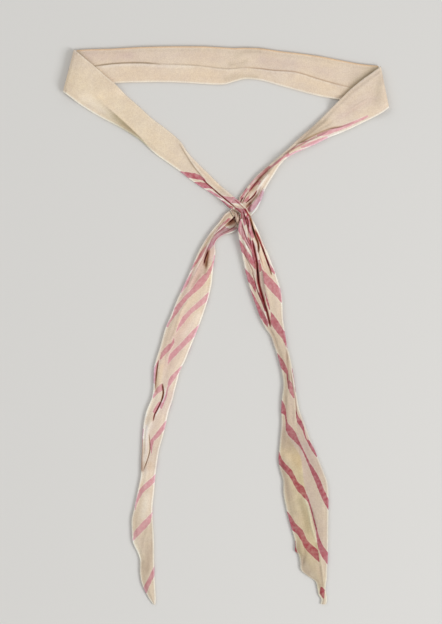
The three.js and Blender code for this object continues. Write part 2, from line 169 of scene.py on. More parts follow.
@dataclass(frozen=True)
class Shade:
    """A soft tint along a line, or on one face of it, to the LEFT or RIGHT as the line is walked. Most are
    painted light and shade.
    """

    tint_and_shade: ShadingTint
    strength: float
    half_width: float
    line: tuple[Point, ...]
    face: Crease | None = None


@dataclass(frozen=True)
class Stripe:
    """A pink stripe between two edges. The tone runs from 0, dusty pink, to 1, deep rose, and is partly the
    stripe's own colour and partly painted sheen and shade.
    """

    tone: float
    upper: tuple[Point, ...]
    lower: tuple[Point, ...]


# A row per section: inner edge x and y, outer edge x and y, how high it lies, and how deep its layers are.
BAND_SECTIONS = (
    (-104.3, 192.9, -111.9, 163.4, 0, BAND_DEPTH),
    (-93.8, 193.5, -99.4, 165.9, 0, BAND_DEPTH),
    (-81.2, 193.8, -85.4, 168.7, 0, BAND_DEPTH),
    (-70.7, 194.4, -72.8, 170.0, 0, BAND_DEPTH),
    (-56.7, 195.1, -57.4, 170.3, 0, BAND_DEPTH),
    (-42.7, 195.4, -42.7, 170.4, 0, BAND_DEPTH),
    (-28.7, 195.5, -28.7, 169.9, 0, BAND_DEPTH),
    (-14.7, 195.4, -14.0, 169.0, 0, BAND_DEPTH),
    (-2.1, 194.7, -1.8, 168.8, 0, BAND_DEPTH),
    (5.6, 194.3, 6.3, 170.9, 0, BAND_DEPTH),
    (14.0, 194.5, 14.0, 172.6, 0, BAND_DEPTH),
    (25.2, 194.0, 24.5, 171.6, 0, BAND_DEPTH),
    (37.8, 192.1, 36.4, 168.3, 0, BAND_DEPTH),
    (51.8, 190.5, 49.0, 164.8, 0, BAND_DEPTH),
    (65.8, 188.5, 62.3, 161.3, 0, BAND_DEPTH),
    (79.8, 185.8, 75.6, 158.7, 0, BAND_DEPTH),
    (93.8, 183.2, 92.4, 155.8, 0, BAND_DEPTH),
    (106.4, 181.9, 112.3, 153.0, 0, BAND_DEPTH),
)
LEFT_ARM_SECTIONS = (
    (-106.1, 193.3, -114.0, 163.5, 0, ARM_DEPTH),
    (-99.4, 187.7, -108.8, 159.7, 0, ARM_DEPTH),
    (-91.2, 180.9, -102.2, 154.7, 0, ARM_DEPTH),
    (-84.7, 175.2, -94.5, 149.7, 0, ARM_DEPTH),
    (-78.3, 169.8, -86.7, 145.2, 0, ARM_DEPTH),
    (-69.8, 161.3, -77.7, 140.6, 0, ARM_DEPTH),
    (-60.8, 153.3, -68.6, 135.4, 0, 3.0),
    (-51.9, 145.2, -59.8, 129.6, 0, 3.0),
    (-43.0, 138.5, -50.1, 120.7, 0, 2.8),
    (-35.8, 132.7, -42.7, 115.3, 0, 2.8),
    (-31.1, 128.0, -36.4, 110.9, 0, 2.8),
    (-26.9, 121.4, -31.4, 107.3, 0, 2.8),
    (-19.9, 113.9, -23.8, 101.4, 0, 3.0),
    (-12.6, 106.7, -16.8, 96.7, 0, 3.2),
    (-4.6, 98.8, -9.8, 92.3, 0.2, 3.5),
    (2.1, 93.3, -3.5, 87.6, 1.8, 3.6),
    (6.6, 89.4, 1.4, 82.9, KNOT_HEIGHT, 3.6),
)
RIGHT_ARM_SECTIONS = (
    (108.1, 181.4, 114.0, 152.5, 0, ARM_DEPTH),
    (101.5, 176.5, 109.9, 149.4, 0, ARM_DEPTH),
    (94.5, 171.5, 104.3, 146.2, 0, ARM_DEPTH),
    (86.9, 165.2, 95.5, 142.0, 0, ARM_DEPTH),
    (80.7, 159.2, 86.8, 137.7, 0, ARM_DEPTH),
    (72.8, 151.3, 78.4, 134.2, 0, 3.0),
    (65.3, 143.8, 71.1, 131.3, 0, 3.4),
    (58.6, 137.6, 63.7, 127.6, 0, 3.6),
    (50.5, 130.6, 54.6, 123.5, 0, 3.8),
    (44.3, 124.6, 47.9, 120.5, 0, 4.0),
    (38.9, 119.9, 42.2, 117.0, 0, 4.0),
    (33.9, 115.5, 38.0, 112.7, 0, 3.8),
    (28.7, 111.2, 34.5, 107.4, 0, 3.6),
    (22.0, 105.5, 30.0, 100.1, 0, 3.4),
    (16.4, 99.0, 26.8, 94.1, 0, 3.2),
    (12.1, 93.6, 24.7, 88.2, 0, 2.9),
    (9.7, 90.5, 22.0, 81.9, 0, 2.7),
    (8.8, 87.5, 17.8, 76.8, 0, 2.6),
)
KNOT_OVER_SECTIONS = (
    (7.0, 89.0, 1.8, 82.5, KNOT_HEIGHT, 3.6),
    (10.8, 85.8, 5.9, 81.2, KNOT_HEIGHT, 4.2),
    (14.3, 82.2, 9.8, 78.4, KNOT_HEIGHT, 4.4),
    (17.6, 76.0, 9.9, 75.0, KNOT_HEIGHT, 4.2),
)
KNOT_WRAP_SECTIONS = (
    (3.2, 80.7, 5.3, 80.3, KNOT_HEIGHT, 1.8),
    (5.5, 78.6, 7.8, 78.9, KNOT_HEIGHT, 2.8),
    (6.4, 75.9, 9.3, 76.3, KNOT_HEIGHT, 2.8),
    (6.9, 73.8, 9.1, 73.6, KNOT_HEIGHT, 2.4),
    (7.4, 72.0, 8.4, 71.8, KNOT_HEIGHT, 1.4),
)
KNOT_UNDER_SECTIONS = (
    (8.3, 87.0, 17.2, 76.2, 0, 2.6),
    (4.9, 83.6, 13.3, 72.4, 0, 2.6),
    (2.8, 80.8, 9.4, 68.9, 0, 2.6),
)
LEFT_TAIL_SECTIONS = (
    (2.3, 80.3, 8.9, 68.5, 0, 2.7),
    (-0.8, 78.1, 6.6, 66.1, 0, 2.9),
    (-4.9, 72.6, 2.8, 64.5, 0, 3.2),
    (-9.8, 66.7, -2.4, 63.1, 0, 3.2),
    (-13.6, 61.4, -7.5, 58.4, 0, 3.2),
    (-17.8, 54.5, -7.3, 51.4, 0, 3.2),
    (-21.0, 47.9, -8.4, 44.4, 0, 3.2),
    (-23.8, 40.9, -9.1, 38.8, 0, 3.0),
    (-27.9, 31.7, -10.0, 29.7, 0, 2.8),
    (-31.1, 24.8, -11.5, 22.4, 0, 2.6),
    (-34.4, 17.8, -13.6, 15.0, 0, 2.6),
    (-38.7, 7.1, -17.4, 3.8, 0, 2.6),
    (-42.8, -2.7, -21.3, -6.3, 0, 2.6),
    (-45.7, -13.5, -25.3, -16.1, 0, 2.6),
    (-48.4, -22.0, -28.7, -24.5, 0, 2.6),
    (-50.3, -29.7, -32.0, -31.1, 0, 2.7),
    (-50.6, -36.8, -33.9, -38.1, 0, 2.8),
    (-50.8, -43.8, -35.6, -44.4, 0, 2.8),
    (-52.1, -50.8, -37.4, -51.8, 0, 2.8),
    (-55.6, -59.5, -40.2, -60.2, 0, 2.8),
    (-57.5, -67.5, -42.0, -68.6, 0, 2.6),
    (-58.4, -77.3, -44.4, -78.4, 0, 2.6),
    (-58.8, -86.4, -46.8, -87.1, 0, 2.6),
    (-59.3, -96.9, -48.4, -97.6, 0, 2.6),
    (-59.7, -105.3, -49.5, -106.0, 0, 2.5),
    (-61.9, -116.2, -50.3, -116.5, 0, 2.4),
    (-64.0, -126.3, -51.4, -126.0, 0, 2.4),
    (-66.0, -135.4, -51.2, -136.1, 0, 2.4),
    (-65.9, -143.1, -50.7, -143.8, 0, 2.4),
    (-65.2, -151.5, -50.3, -153.6, 0, 2.4),
    (-61.5, -159.6, -50.3, -162.8, 0, 2.2),
    (-60.2, -164.8, -50.2, -168.3, 0, 2.2),
    (-60.2, -173.2, -50.0, -176.0, 0, 2.0),
    (-58.4, -182.0, -49.6, -183.0, 0, 2.0),
    (-53.9, -190.8, -49.1, -191.1, 0, 1.8),
    (-50.8, -195.2, -49.3, -194.9, 0, 1.4),
)
RIGHT_TAIL_SECTIONS = (
    (10.0, 74.5, 17.7, 75.5, KNOT_HEIGHT, 4.2),
    (8.5, 67.5, 22.0, 67.2, KNOT_HEIGHT, 4.4),
    (9.1, 60.5, 24.8, 60.2, 1.6, 5.4),
    (10.8, 51.8, 28.7, 51.8, 0, 5.6),
    (12.9, 41.1, 33.0, 41.1, 0, 4.8),
    (15.0, 32.7, 35.9, 32.7, 0, 4.6),
    (17.8, 23.0, 38.6, 23.0, 0, 4.4),
    (20.6, 15.0, 39.4, 15.0, 0, 4.4),
    (24.4, 4.7, 39.8, 5.6, 0, 4.2),
    (27.8, -2.2, 40.7, -1.4, 0, 3.8),
    (31.2, -7.1, 41.7, -8.0, 0, 3.6),
    (33.4, -13.4, 42.8, -14.7, 0, 3.4),
    (35.6, -19.7, 44.5, -20.6, 0, 3.4),
    (38.2, -28.7, 46.2, -28.7, 0, 3.4),
    (39.8, -36.7, 47.5, -36.7, 0, 3.4),
    (40.0, -42.9, 48.4, -42.9, 0, 3.2),
    (39.1, -50.0, 49.5, -50.0, 0, 3.0),
    (38.6, -58.4, 51.3, -58.8, 0, 2.8),
    (38.8, -67.9, 54.7, -67.9, 0, 2.6),
    (38.1, -76.3, 57.7, -76.3, 0, 2.5),
    (37.3, -85.7, 61.5, -85.8, 0, 2.4),
    (36.7, -92.0, 64.3, -92.4, 0, 2.4),
    (37.1, -97.3, 66.4, -97.6, 0, 2.4),
    (38.5, -103.2, 68.9, -103.9, 0, 2.4),
    (40.0, -109.2, 70.8, -109.5, 0, 2.4),
    (40.2, -117.2, 71.7, -117.9, 0, 2.4),
    (42.1, -127.7, 71.7, -127.7, 0, 2.4),
    (44.2, -136.1, 71.6, -136.1, 0, 2.4),
    (46.8, -145.2, 71.5, -145.2, 0, 2.4),
    (48.3, -151.1, 71.5, -151.5, 0, 2.4),
    (48.4, -157.5, 71.3, -157.8, 0, 2.3),
    (50.7, -160.1, 71.3, -161.0, 0, 2.3),
    (51.7, -165.5, 71.0, -166.6, 0, 2.2),
    (52.5, -171.1, 70.7, -172.2, 0, 2.2),
    (57.4, -175.3, 70.5, -176.8, 0, 2.1),
    (62.4, -178.8, 69.9, -180.9, 0, 2.0),
    (63.9, -183.8, 69.6, -184.4, 0, 2.0),
    (64.8, -188.3, 70.2, -188.3, 0, 1.9),
    (66.7, -191.4, 70.6, -191.8, 0, 1.8),
    (66.1, -194.6, 70.2, -194.9, 0, 1.5),
)

# The cloth lies in three runs: the band, the upper run of left arm, knot's top and right tail, and the lower run
# of right arm, knot's underside and left tail. Each has its folds, tints and stripes as lines in plan. The folds
# paint shade inside them and highlights on their lips, and most tints are painted light and shade: faces darker
# or lighter as they turn to the lamps, shade in hollows and creases, highlights on ridges and edges.
BAND_FOLDS = (
    Fold(Crease.RIGHT, 0.75, 0.8, 0.85,
           ((-95.2, 180.8), (-82.6, 182.6), (-70.1, 183.5), (-57.5, 183.5), (-45.1, 182.6)), ShadingTint.DUSK),
    Fold(Crease.RIGHT, 0.6, 0.7, 0.25,
           ((-47.6, 182.8), (-23.2, 182.1), (-4.5, 180), (4.2, 179.6), (14.3, 180.6)), ShadingTint.DUSK),
    Fold(Crease.RIGHT, 0.6, 0.7, 0.6,
           ((11.9, 180.4), (23.1, 179.7), (33, 178.4), (48.6, 177.2), (64.3, 172.5), (76.8, 168.9),
            (88.2, 166.2)), ShadingTint.BROWN),
    Fold(Crease.RIDGE, 0.35, 1, 0, ((1.8, 181.6), (8.4, 182.9), (12.9, 184.2), (16.8, 186.8))),
    Fold(Crease.RIDGE, 0.25, 3, 0, ((4.2, 174.6), (16.8, 173.9), (34.3, 176))),
    Fold(Crease.VALLEY, 0.25, 2.6, 0, ((-2.8, 171.1), (7, 176), (18.2, 176.8))),
)
BAND_SHADES = (
    Shade(ShadingTint.GREY, 0.8, 2.6, ((-104.3, 192.8), (-99.4, 187.2), (-93.1, 180.9), (-85.4, 173.2))),
    Shade(ShadingTint.SHADOW, 0.7, 0.9, ((-103.6, 191.4), (-96.6, 184.4), (-89.6, 178.4), (-81.2, 171.1))),
    Shade(ShadingTint.LILAC, 0.7, 4, ((-96.6, 190), (-85.4, 188.6), (-68.6, 189.3))),
    Shade(ShadingTint.LILAC, 0.35, 3.5, ((-74.2, 188.6), (-39.2, 189.3), (-4.2, 187.9))),
    Shade(ShadingTint.CREAM, 0.4, 4.5, ((-74.2, 176.8), (-39.2, 175.3), (-7.7, 174.6))),
    Shade(ShadingTint.PALE, 0.8, 0.9,
           ((-86.8, 180.5), (-79.8, 181.5), (-70, 182.1), (-57.4, 182.1), (-44.8, 181.2), (-23.1, 180.7))),
    Shade(ShadingTint.LILAC, 0.4, 3.5, ((25.2, 185.8), (51.8, 182.3), (72.8, 176))),
    Shade(ShadingTint.GREY, 0.5, 2, ((7, 188.6), (14, 191.4), (23.8, 192.1))),
    Shade(ShadingTint.SHADOW, 0.55, 2.4, ((107.8, 181.6), (98, 176), (89.6, 169.3), (82.6, 161.3))),
    Shade(ShadingTint.SHADOW, 0.8, 0.9, ((107.8, 180.9), (99.4, 175.3), (91, 168.6), (81.9, 159.7))),
    Shade(ShadingTint.GREY, 0.35, 5, ((100.8, 180.2), (91, 173.2))),
    Shade(ShadingTint.CREAM, 0.5, 3.5, ((51.8, 173.2), (72.8, 166.9))),
    Shade(ShadingTint.GREY, 0.7, 2.2, ((0, 172.5), (9.8, 174.2), (21, 173.9))),
    Shade(ShadingTint.GREY, 0.6, 1.6, ((2.8, 183), (8.4, 181.6), (14, 184.4))),
)
UPPER_FOLDS = (
    Fold(Crease.RIDGE, 0.6, 1.5, 0, ((-92.4, 162.8), (-82.6, 153.6), (-71.4, 143.4), (-58.1, 129.8))),
    Fold(Crease.VALLEY, 0.35, 2.4, 0, ((-85.4, 152.2), (-77, 143.8), (-65.8, 134.8))),
    Fold(Crease.LEFT, 0.8, 0.8, 0.5,
           ((-32.5, 127.7), (-26.9, 118.4), (-21.6, 110.4), (-15.3, 103.2)), ShadingTint.DUSK),
    Fold(Crease.LEFT, 0.8, 0.8, 0.15, ((-19.6, 106.8), (-14, 100.7), (-9, 96.2), (-1, 89.5), (7, 82.9))),
    Fold(Crease.SLIT, 1, 0.45, 1, ((-16.5, 102.5), (-14, 100), (-9.8, 96.4), (-5.6, 92.6)), ShadingTint.DEEP),
    Fold(Crease.SLIT, 1, 0.42, 0.95,
           ((-8, 94.4), (-3.2, 90.5), (0.7, 87.3), (4.5, 84.2), (7.4, 81.8)), ShadingTint.DEEP),
    Fold(Crease.SLIT, 0.7, 0.5, 0.6, ((-4.9, 88.5), (-0.4, 85), (2.8, 82.2), (5.6, 80.4))),
    Fold(Crease.RIDGE, 0.5, 0.9, 0, ((4.6, 85.3), (8.7, 84.5), (12.2, 83.8))),
    Fold(Crease.RIDGE, 0.4, 0.7, 0, ((-11.2, 94.8), (-4.9, 89), (2.1, 83.4))),
    Fold(Crease.SLIT, 0.7, 0.5, 0.8, ((6, 81.8), (7.7, 78.8), (8.4, 75.2))),
    Fold(Crease.SLIT, 0.7, 0.5, 0.8, ((11.9, 80.1), (13, 76.9), (14.3, 73.8))),
    Fold(Crease.SLIT, 0.9, 0.6, 0.6, ((6.6, 82.2), (9.4, 80), (10.9, 78.6))),
    Fold(Crease.SLIT, 1.3, 0.7, 1, ((13, 82.5), (14.7, 79.2), (16.8, 75.8)), ShadingTint.DEEP),
    Fold(Crease.SLIT, 1.7, 0.9, 1, ((16.1, 78), (17.4, 73.1), (18.8, 67.5), (20.3, 62.6)), ShadingTint.OLIVE),
    Fold(Crease.SLIT, 1.8, 1, 1,
           ((17.9, 69.6), (19.3, 65.5), (20.9, 61.2), (22.3, 57.7), (22.8, 54.2), (22.5, 51)), ShadingTint.OLIVE),
    Fold(Crease.SLIT, 1.8, 1, 1,
           ((18.1, 60.5), (19.2, 56.3), (20.2, 51.4), (21.7, 44.2), (22, 38), (22.7, 31.7)), ShadingTint.DEEP),
    Fold(Crease.SLIT, 1.9, 1.4, 1,
           ((22.1, 40.2), (22.5, 31.7), (23.8, 25.5), (25.7, 19.2), (28, 12.2)), ShadingTint.DEEP),
    Fold(Crease.SLIT, 1.8, 1.1, 0.95, ((26.6, 15.7), (28.1, 11.6), (29.7, 5.3), (31.1, -1)), ShadingTint.DEEP),
    Fold(Crease.SLIT, 1.7, 0.85, 1,
           ((20.3, 67.5), (22, 63.3), (23.8, 58.9), (25.6, 54.2), (27.2, 50)), ShadingTint.DEEP),
    Fold(Crease.SLIT, 1.4, 0.8, 1, ((25.2, 54.5), (27.3, 49.3), (29.1, 44.4), (30.4, 40.9)), ShadingTint.DEEP),
    Fold(Crease.SLIT, 1.2, 0.7, 0.8, ((29, 44.2), (30.5, 40), (31.9, 35.3)), ShadingTint.BROWN),
    Fold(Crease.RIDGE, 0.6, 0.7, 0, ((21.3, 67.1), (23.5, 61.2), (25.6, 55.6), (27.3, 51))),
    Fold(Crease.SLIT, 1, 0.6, 0.9, ((14.1, 76.6), (15.3, 73.1), (15.8, 68.2)), ShadingTint.DEEP),
    Fold(Crease.SLIT, 1, 0.5, 0.6, ((12.5, 78), (13.9, 73.1), (15.1, 68.2), (16.1, 62.6))),
    Fold(Crease.SLIT, 0.9, 0.5, 0.5, ((16.5, 66.1), (16.8, 61.2), (17.6, 55.6))),
    Fold(Crease.SLIT, 0.9, 0.55, 0.5, ((10.9, 72.4), (12.3, 66.6), (14.4, 60.5), (17.1, 55.2))),
    Fold(Crease.SLIT, 0.9, 0.5, 0.55, ((13, 59.8), (15.4, 55.2), (17.9, 50.5), (20, 43.8))),
    Fold(Crease.SLIT, 0.7, 0.5, 0.4, ((10.8, 55.6), (13.7, 48.2), (16.8, 42.3), (20, 35.3))),
    Fold(Crease.SLIT, 0.8, 0.5, 0.55, ((17.9, 38.8), (19.7, 32.8), (21.4, 26.2), (22.8, 23.4))),
    Fold(Crease.SLIT, 1.2, 0.6, 0.8, ((21.4, 25.5), (23.4, 20.6), (25.5, 15.5), (27.3, 10.1))),
    Fold(Crease.RIDGE, 0.5, 0.7, 0, ((11.6, 59.8), (14.7, 54.2), (17.2, 51.2), (19.7, 44.2))),
    Fold(Crease.RIDGE, 0.5, 0.7, 0, ((12.6, 76.6), (13.9, 71), (14.7, 64.8), (16.5, 59.1))),
    Fold(Crease.RIDGE, 0.5, 0.8, 0,
           ((20.4, 40.2), (21.6, 30.2), (22.9, 23.9), (25.1, 16.7), (28.1, 5.3), (30, -1.8))),
    Fold(Crease.RIDGE, 0.5, 0.9, 0, ((21, 55.2), (21.7, 50), (22.1, 44.4))),
    Fold(Crease.RIDGE, 0.6, 1.1, 0,
           ((23.5, 55.6), (24.6, 47.2), (25.3, 40.2), (26.9, 30.4), (28.7, 23.4), (31.5, 13.6))),
    Fold(Crease.VALLEY, 0.5, 1.2, 0.1, ((24.8, 38.8), (25.5, 29), (26.9, 19.9))),
    Fold(Crease.VALLEY, 0.5, 1, 0.15, ((30.8, -1.8), (33.6, -10.1), (36, -17.1))),
    Fold(Crease.VALLEY, 0.6, 0.9, 0.3, ((42.4, -15.7), (42.8, -25.5), (43.4, -32.5), (44.5, -40.9))),
    Fold(Crease.VALLEY, 0.6, 0.8, 0.4, ((42.8, -32.5), (43.3, -38.8), (43.7, -44.4))),
    Fold(Crease.SLIT, 0.7, 0.6, 0.4,
           ((45.2, -31.1), (46.6, -40.9), (48.3, -49.1), (49.2, -57.7), (49.1, -64.8))),
    Fold(Crease.RIDGE, 0.6, 1.2, 0, ((44.2, -47.2), (47.2, -51.2), (48.2, -57.7), (48, -68.9))),
    Fold(Crease.VALLEY, 0.4, 1.4, 0.15, ((41.3, -48.6), (42, -57.7), (42.3, -68.9))),
    Fold(Crease.RIDGE, 0.6, 2.2, 0,
           ((48, -68.9), (51.5, -81.5), (53.1, -88.5), (53.2, -101.1), (54.9, -113.7))),
    Fold(Crease.RIDGE, 0.7, 1, 0, ((54.6, -117.9), (58, -129.2), (59.9, -140.1), (63.3, -151.1))),
    Fold(Crease.RIDGE, 0.6, 1.1, 0, ((63.3, -151.1), (65.5, -159.2), (67.5, -172.5), (68.6, -185.1))),
    Fold(Crease.VALLEY, 0.6, 0.9, 0.3, ((58, -124.8), (60.6, -131.9), (62.9, -143.1))),
    Fold(Crease.VALLEY, 0.4, 1.2, 0, ((39.9, -88.5), (44.5, -86.2), (49.4, -87.1))),
    Fold(Crease.RIDGE, 0.35, 1.6, 0, ((42, -89), (42.4, -93.4), (45.8, -98.3), (49.3, -102.5))),
    Fold(Crease.VALLEY, 0.35, 1.8, 0, ((46.6, -89.9), (46.1, -94.1), (49, -99))),
    Fold(Crease.VALLEY, 0.35, 2.4, 0, ((49, -116.5), (53.2, -130.5), (56.7, -143.1))),
    Fold(Crease.VALLEY, 0.5, 1.2, 0.15, ((54.6, -155), (54.9, -161.3), (52.4, -168.3))),
    Fold(Crease.VALLEY, 0.4, 1.4, 0.1, ((64.8, -166.9), (66.6, -176.8), (67.2, -183.8))),
)
UPPER_SHADES = (
    Shade(ShadingTint.GREY, 0.3, 3.2, ((-108.5, 167.6), (-105.7, 177.4), (-103.6, 187.2))),
    Shade(ShadingTint.GREY, 0.75, 7,
           ((-79.8, 150.1), (-74.2, 145.2), (-67.2, 138.8), (-57.4, 129.2)), Crease.RIGHT),
    Shade(ShadingTint.PALE, 0.7, 3.6, ((-99.4, 159.2), (-88.2, 152.2), (-77, 144.5))),
    Shade(ShadingTint.IVORY, 0.5, 14,
           ((-107.8, 171.8), (-95.2, 163.4), (-79.8, 153.6), (-63, 139.6), (-46.2, 124.2))),
    Shade(ShadingTint.SHADOW, 0.75, 5, ((-75.6, 146.5), (-67.2, 138.8), (-57.4, 129.2)), Crease.RIGHT),
    Shade(ShadingTint.CREAM, 0.5, 2.5, ((-88.2, 159.2), (-77, 148), (-64.4, 136.1))),
    Shade(ShadingTint.CREAM, 0.4, 5, ((-53.2, 133.3), (-43.4, 124.2), (-35, 117.2))),
    Shade(ShadingTint.GREY, 0.4, 1.6, ((-33.6, 129.8), (-29.4, 121.4), (-23.8, 111.6))),
    Shade(ShadingTint.WARM, 0.4, 2.4, ((-28, 125.6), (-16.1, 111.6), (-4.2, 97.6))),
    Shade(ShadingTint.BRIGHT, 0.7, 0.8, ((2.8, 85.6), (7, 84.9), (11.2, 84.5))),
    Shade(ShadingTint.CREAM, 0.8, 1.4, ((2.8, 85.3), (7, 84.6), (11.2, 84.1))),
    Shade(ShadingTint.BRIGHT, 0.7, 0.9, ((11.9, 73.8), (13.3, 69.4), (15.1, 65))),
    Shade(ShadingTint.BRIGHT, 0.7, 0.6, ((16, 68.2), (16.5, 62.6), (17.4, 57.7))),
    Shade(ShadingTint.BRIGHT, 0.8, 0.5, ((13.7, 80.4), (14.7, 77.6), (15.8, 74.5))),
    Shade(ShadingTint.BRIGHT, 0.7, 0.5, ((14.3, 55.6), (16.5, 52.8), (18.6, 49.6))),
    Shade(ShadingTint.BRIGHT, 0.6, 0.5, ((17.5, 76.9), (19.6, 72.7), (21.7, 68))),
    Shade(ShadingTint.PALE, 1, 1.2, ((20.4, 57.7), (21.3, 53.5), (22, 48.6), (22.4, 45.1))),
    Shade(ShadingTint.LILAC, 0.8, 1.2, ((20.4, 57.7), (21.3, 53.5), (22, 48.6), (22.4, 45.1))),
    Shade(ShadingTint.MAUVE, 0.9, 1.6, ((5.6, 82.2), (8.4, 80.1), (10.2, 78))),
    Shade(ShadingTint.MAUVE, 0.7, 1.8, ((7, 88.5), (11.2, 83.6), (13.3, 80.1))),
    Shade(ShadingTint.BRIGHT, 0.8, 0.6, ((-14.7, 98.3), (-10.5, 95), (-6.3, 91.6), (-2.1, 88.1), (2.1, 84.8))),
    Shade(ShadingTint.PALE, 0.8, 0.8, ((-26.6, 121.4), (-18.2, 112.3), (-8.4, 102.5), (1.4, 93.4), (7, 88.5))),
    Shade(ShadingTint.GREY, 0.9, 1.6, ((8.4, 78), (10.2, 76.6), (11.2, 75.7))),
    Shade(ShadingTint.CREAM, 0.8, 1.2, ((7, 82.7), (9.1, 80.8), (10.5, 78.8))),
    Shade(ShadingTint.DEEP, 0.35, 2.2, ((8.7, 81.8), (11.2, 80.8), (12.9, 79.7))),
    Shade(ShadingTint.GREY, 1, 1.7, ((25.1, 37.4), (25.3, 29), (26.5, 19.9))),
    Shade(ShadingTint.LILAC, 0.9, 1.5, ((25.2, 37.4), (25.5, 29), (26.6, 19.9))),
    Shade(ShadingTint.DEEP, 0.5, 1.4, ((21, 44.4), (22, 37.4), (22.8, 30.4))),
    Shade(ShadingTint.LILAC, 0.5, 2.5, ((35, 15), (38.5, 5.2), (40.6, -3.1))),
    Shade(ShadingTint.WARM, 0.5, 2.5, ((25.2, 50), (27.3, 41.6), (30.8, 34.6))),
    Shade(ShadingTint.CREAM, 0.6, 0.8, ((24.5, 52.8), (25.5, 44.4), (28, 36))),
    Shade(ShadingTint.BRIGHT, 0.6, 0.7, ((20.7, 37.4), (22.7, 24.8), (25.9, 15), (29.8, 0.3))),
    Shade(ShadingTint.BRIGHT, 0.5, 0.7, ((11.6, 59.8), (14.7, 54.2), (18.9, 45.8))),
    Shade(ShadingTint.LILAC, 0.6, 0.8, ((21.1, 55.6), (21.7, 50), (22, 44.4))),
    Shade(ShadingTint.BROWN, 0.6, 0.8, ((17.5, 76.6), (18.5, 71), (20, 65.5))),
    Shade(ShadingTint.WARM, 0.5, 1, ((18.6, 73.8), (20.7, 68.2), (23.1, 62.6))),
    Shade(ShadingTint.GREY, 0.4, 1.4, ((27, 48.6), (29.1, 43), (30.8, 37.4))),
    Shade(ShadingTint.GREY, 0.5, 1.6, ((42, -35.3), (41, -45.1), (42.3, -54.9))),
    Shade(ShadingTint.PALE, 0.9, 2.4, ((45.4, -50), (45.8, -60.5), (46.5, -71))),
    Shade(ShadingTint.BLUSH, 0.5, 2.4, ((45.4, -50), (45.8, -60.5), (46.5, -71))),
    Shade(ShadingTint.GREY, 0.5, 4, ((40.6, -74.5), (44.8, -82.9))),
    Shade(ShadingTint.LILAC, 0.9, 4.5, ((39.2, -71.8), (41.3, -78.8), (44.8, -83.6))),
    Shade(ShadingTint.PALE, 0.7, 3.6, ((40.6, -89.7), (46.2, -91.3), (50.4, -95.5))),
    Shade(ShadingTint.WARM, 0.8, 3.6, ((40.6, -89.7), (46.2, -91.3), (50.4, -95.5))),
    Shade(ShadingTint.LILAC, 0.9, 9,
           ((49.7, -69.6), (50.4, -83.6), (53.2, -96.9), (54.9, -113.7), (58.1, -129.2), (63.3, -150.8)),
            Crease.LEFT),
    Shade(ShadingTint.YELLOW, 0.9, 12,
           ((49, -86.4), (52.5, -92.8), (53.5, -101.1), (55.3, -113.7), (60.2, -133.3), (64.4, -153.6)),
            Crease.RIGHT),
    Shade(ShadingTint.DARKER, 0.8, 2.2, ((51.8, -122.1), (55.6, -133.3), (57.1, -143.8))),
    Shade(ShadingTint.PALE, 1, 2.4, ((50.4, -86.4), (51.5, -91.3), (51.8, -101.1))),
    Shade(ShadingTint.WARM, 0.7, 2.4, ((50.4, -86.4), (51.5, -91.3), (51.8, -101.1))),
    Shade(ShadingTint.LILAC, 0.8, 3.5, ((56, -84.3), (61.6, -95.5), (68.6, -110.9))),
    Shade(ShadingTint.GREY, 0.7, 2.6, ((38.9, -98.3), (41.3, -108.1), (44.8, -119.3), (47.6, -130.5))),
    Shade(ShadingTint.LILAC, 0.7, 2.6, ((38.9, -98.3), (41.3, -108.1), (44.8, -119.3))),
    Shade(ShadingTint.PALE, 0.6, 1, ((52.8, -88.5), (53.2, -101.1), (54.2, -110.9))),
    Shade(ShadingTint.BRIGHT, 0.8, 1.1, ((55.3, -120.7), (58.1, -129.2), (60.1, -140.3), (63.3, -150.8))),
    Shade(ShadingTint.GREY, 0.5, 2.6, ((49, -155.8), (53.2, -165.5), (57.4, -173.9))),
    Shade(ShadingTint.YELLOW, 0.45, 5, ((51.1, -152.9), (57.4, -165.5), (63, -176.8), (65.8, -186.5))),
    Shade(ShadingTint.DARKER, 0.6, 3, ((49.7, -153.6), (53.9, -161.3), (61.6, -173.9), (65.8, -182.3))),
    Shade(ShadingTint.PALE, 0.7, 1.4, ((64.8, -154.3), (66.4, -165.5), (67.8, -178.1))),
    Shade(ShadingTint.PALE, 0.7, 3, ((53.2, -164.1), (58.1, -171.1), (62.3, -179.5))),
    Shade(ShadingTint.LILAC, 0.5, 3, ((53.2, -164.1), (58.1, -171.1), (62.3, -179.5))),
)
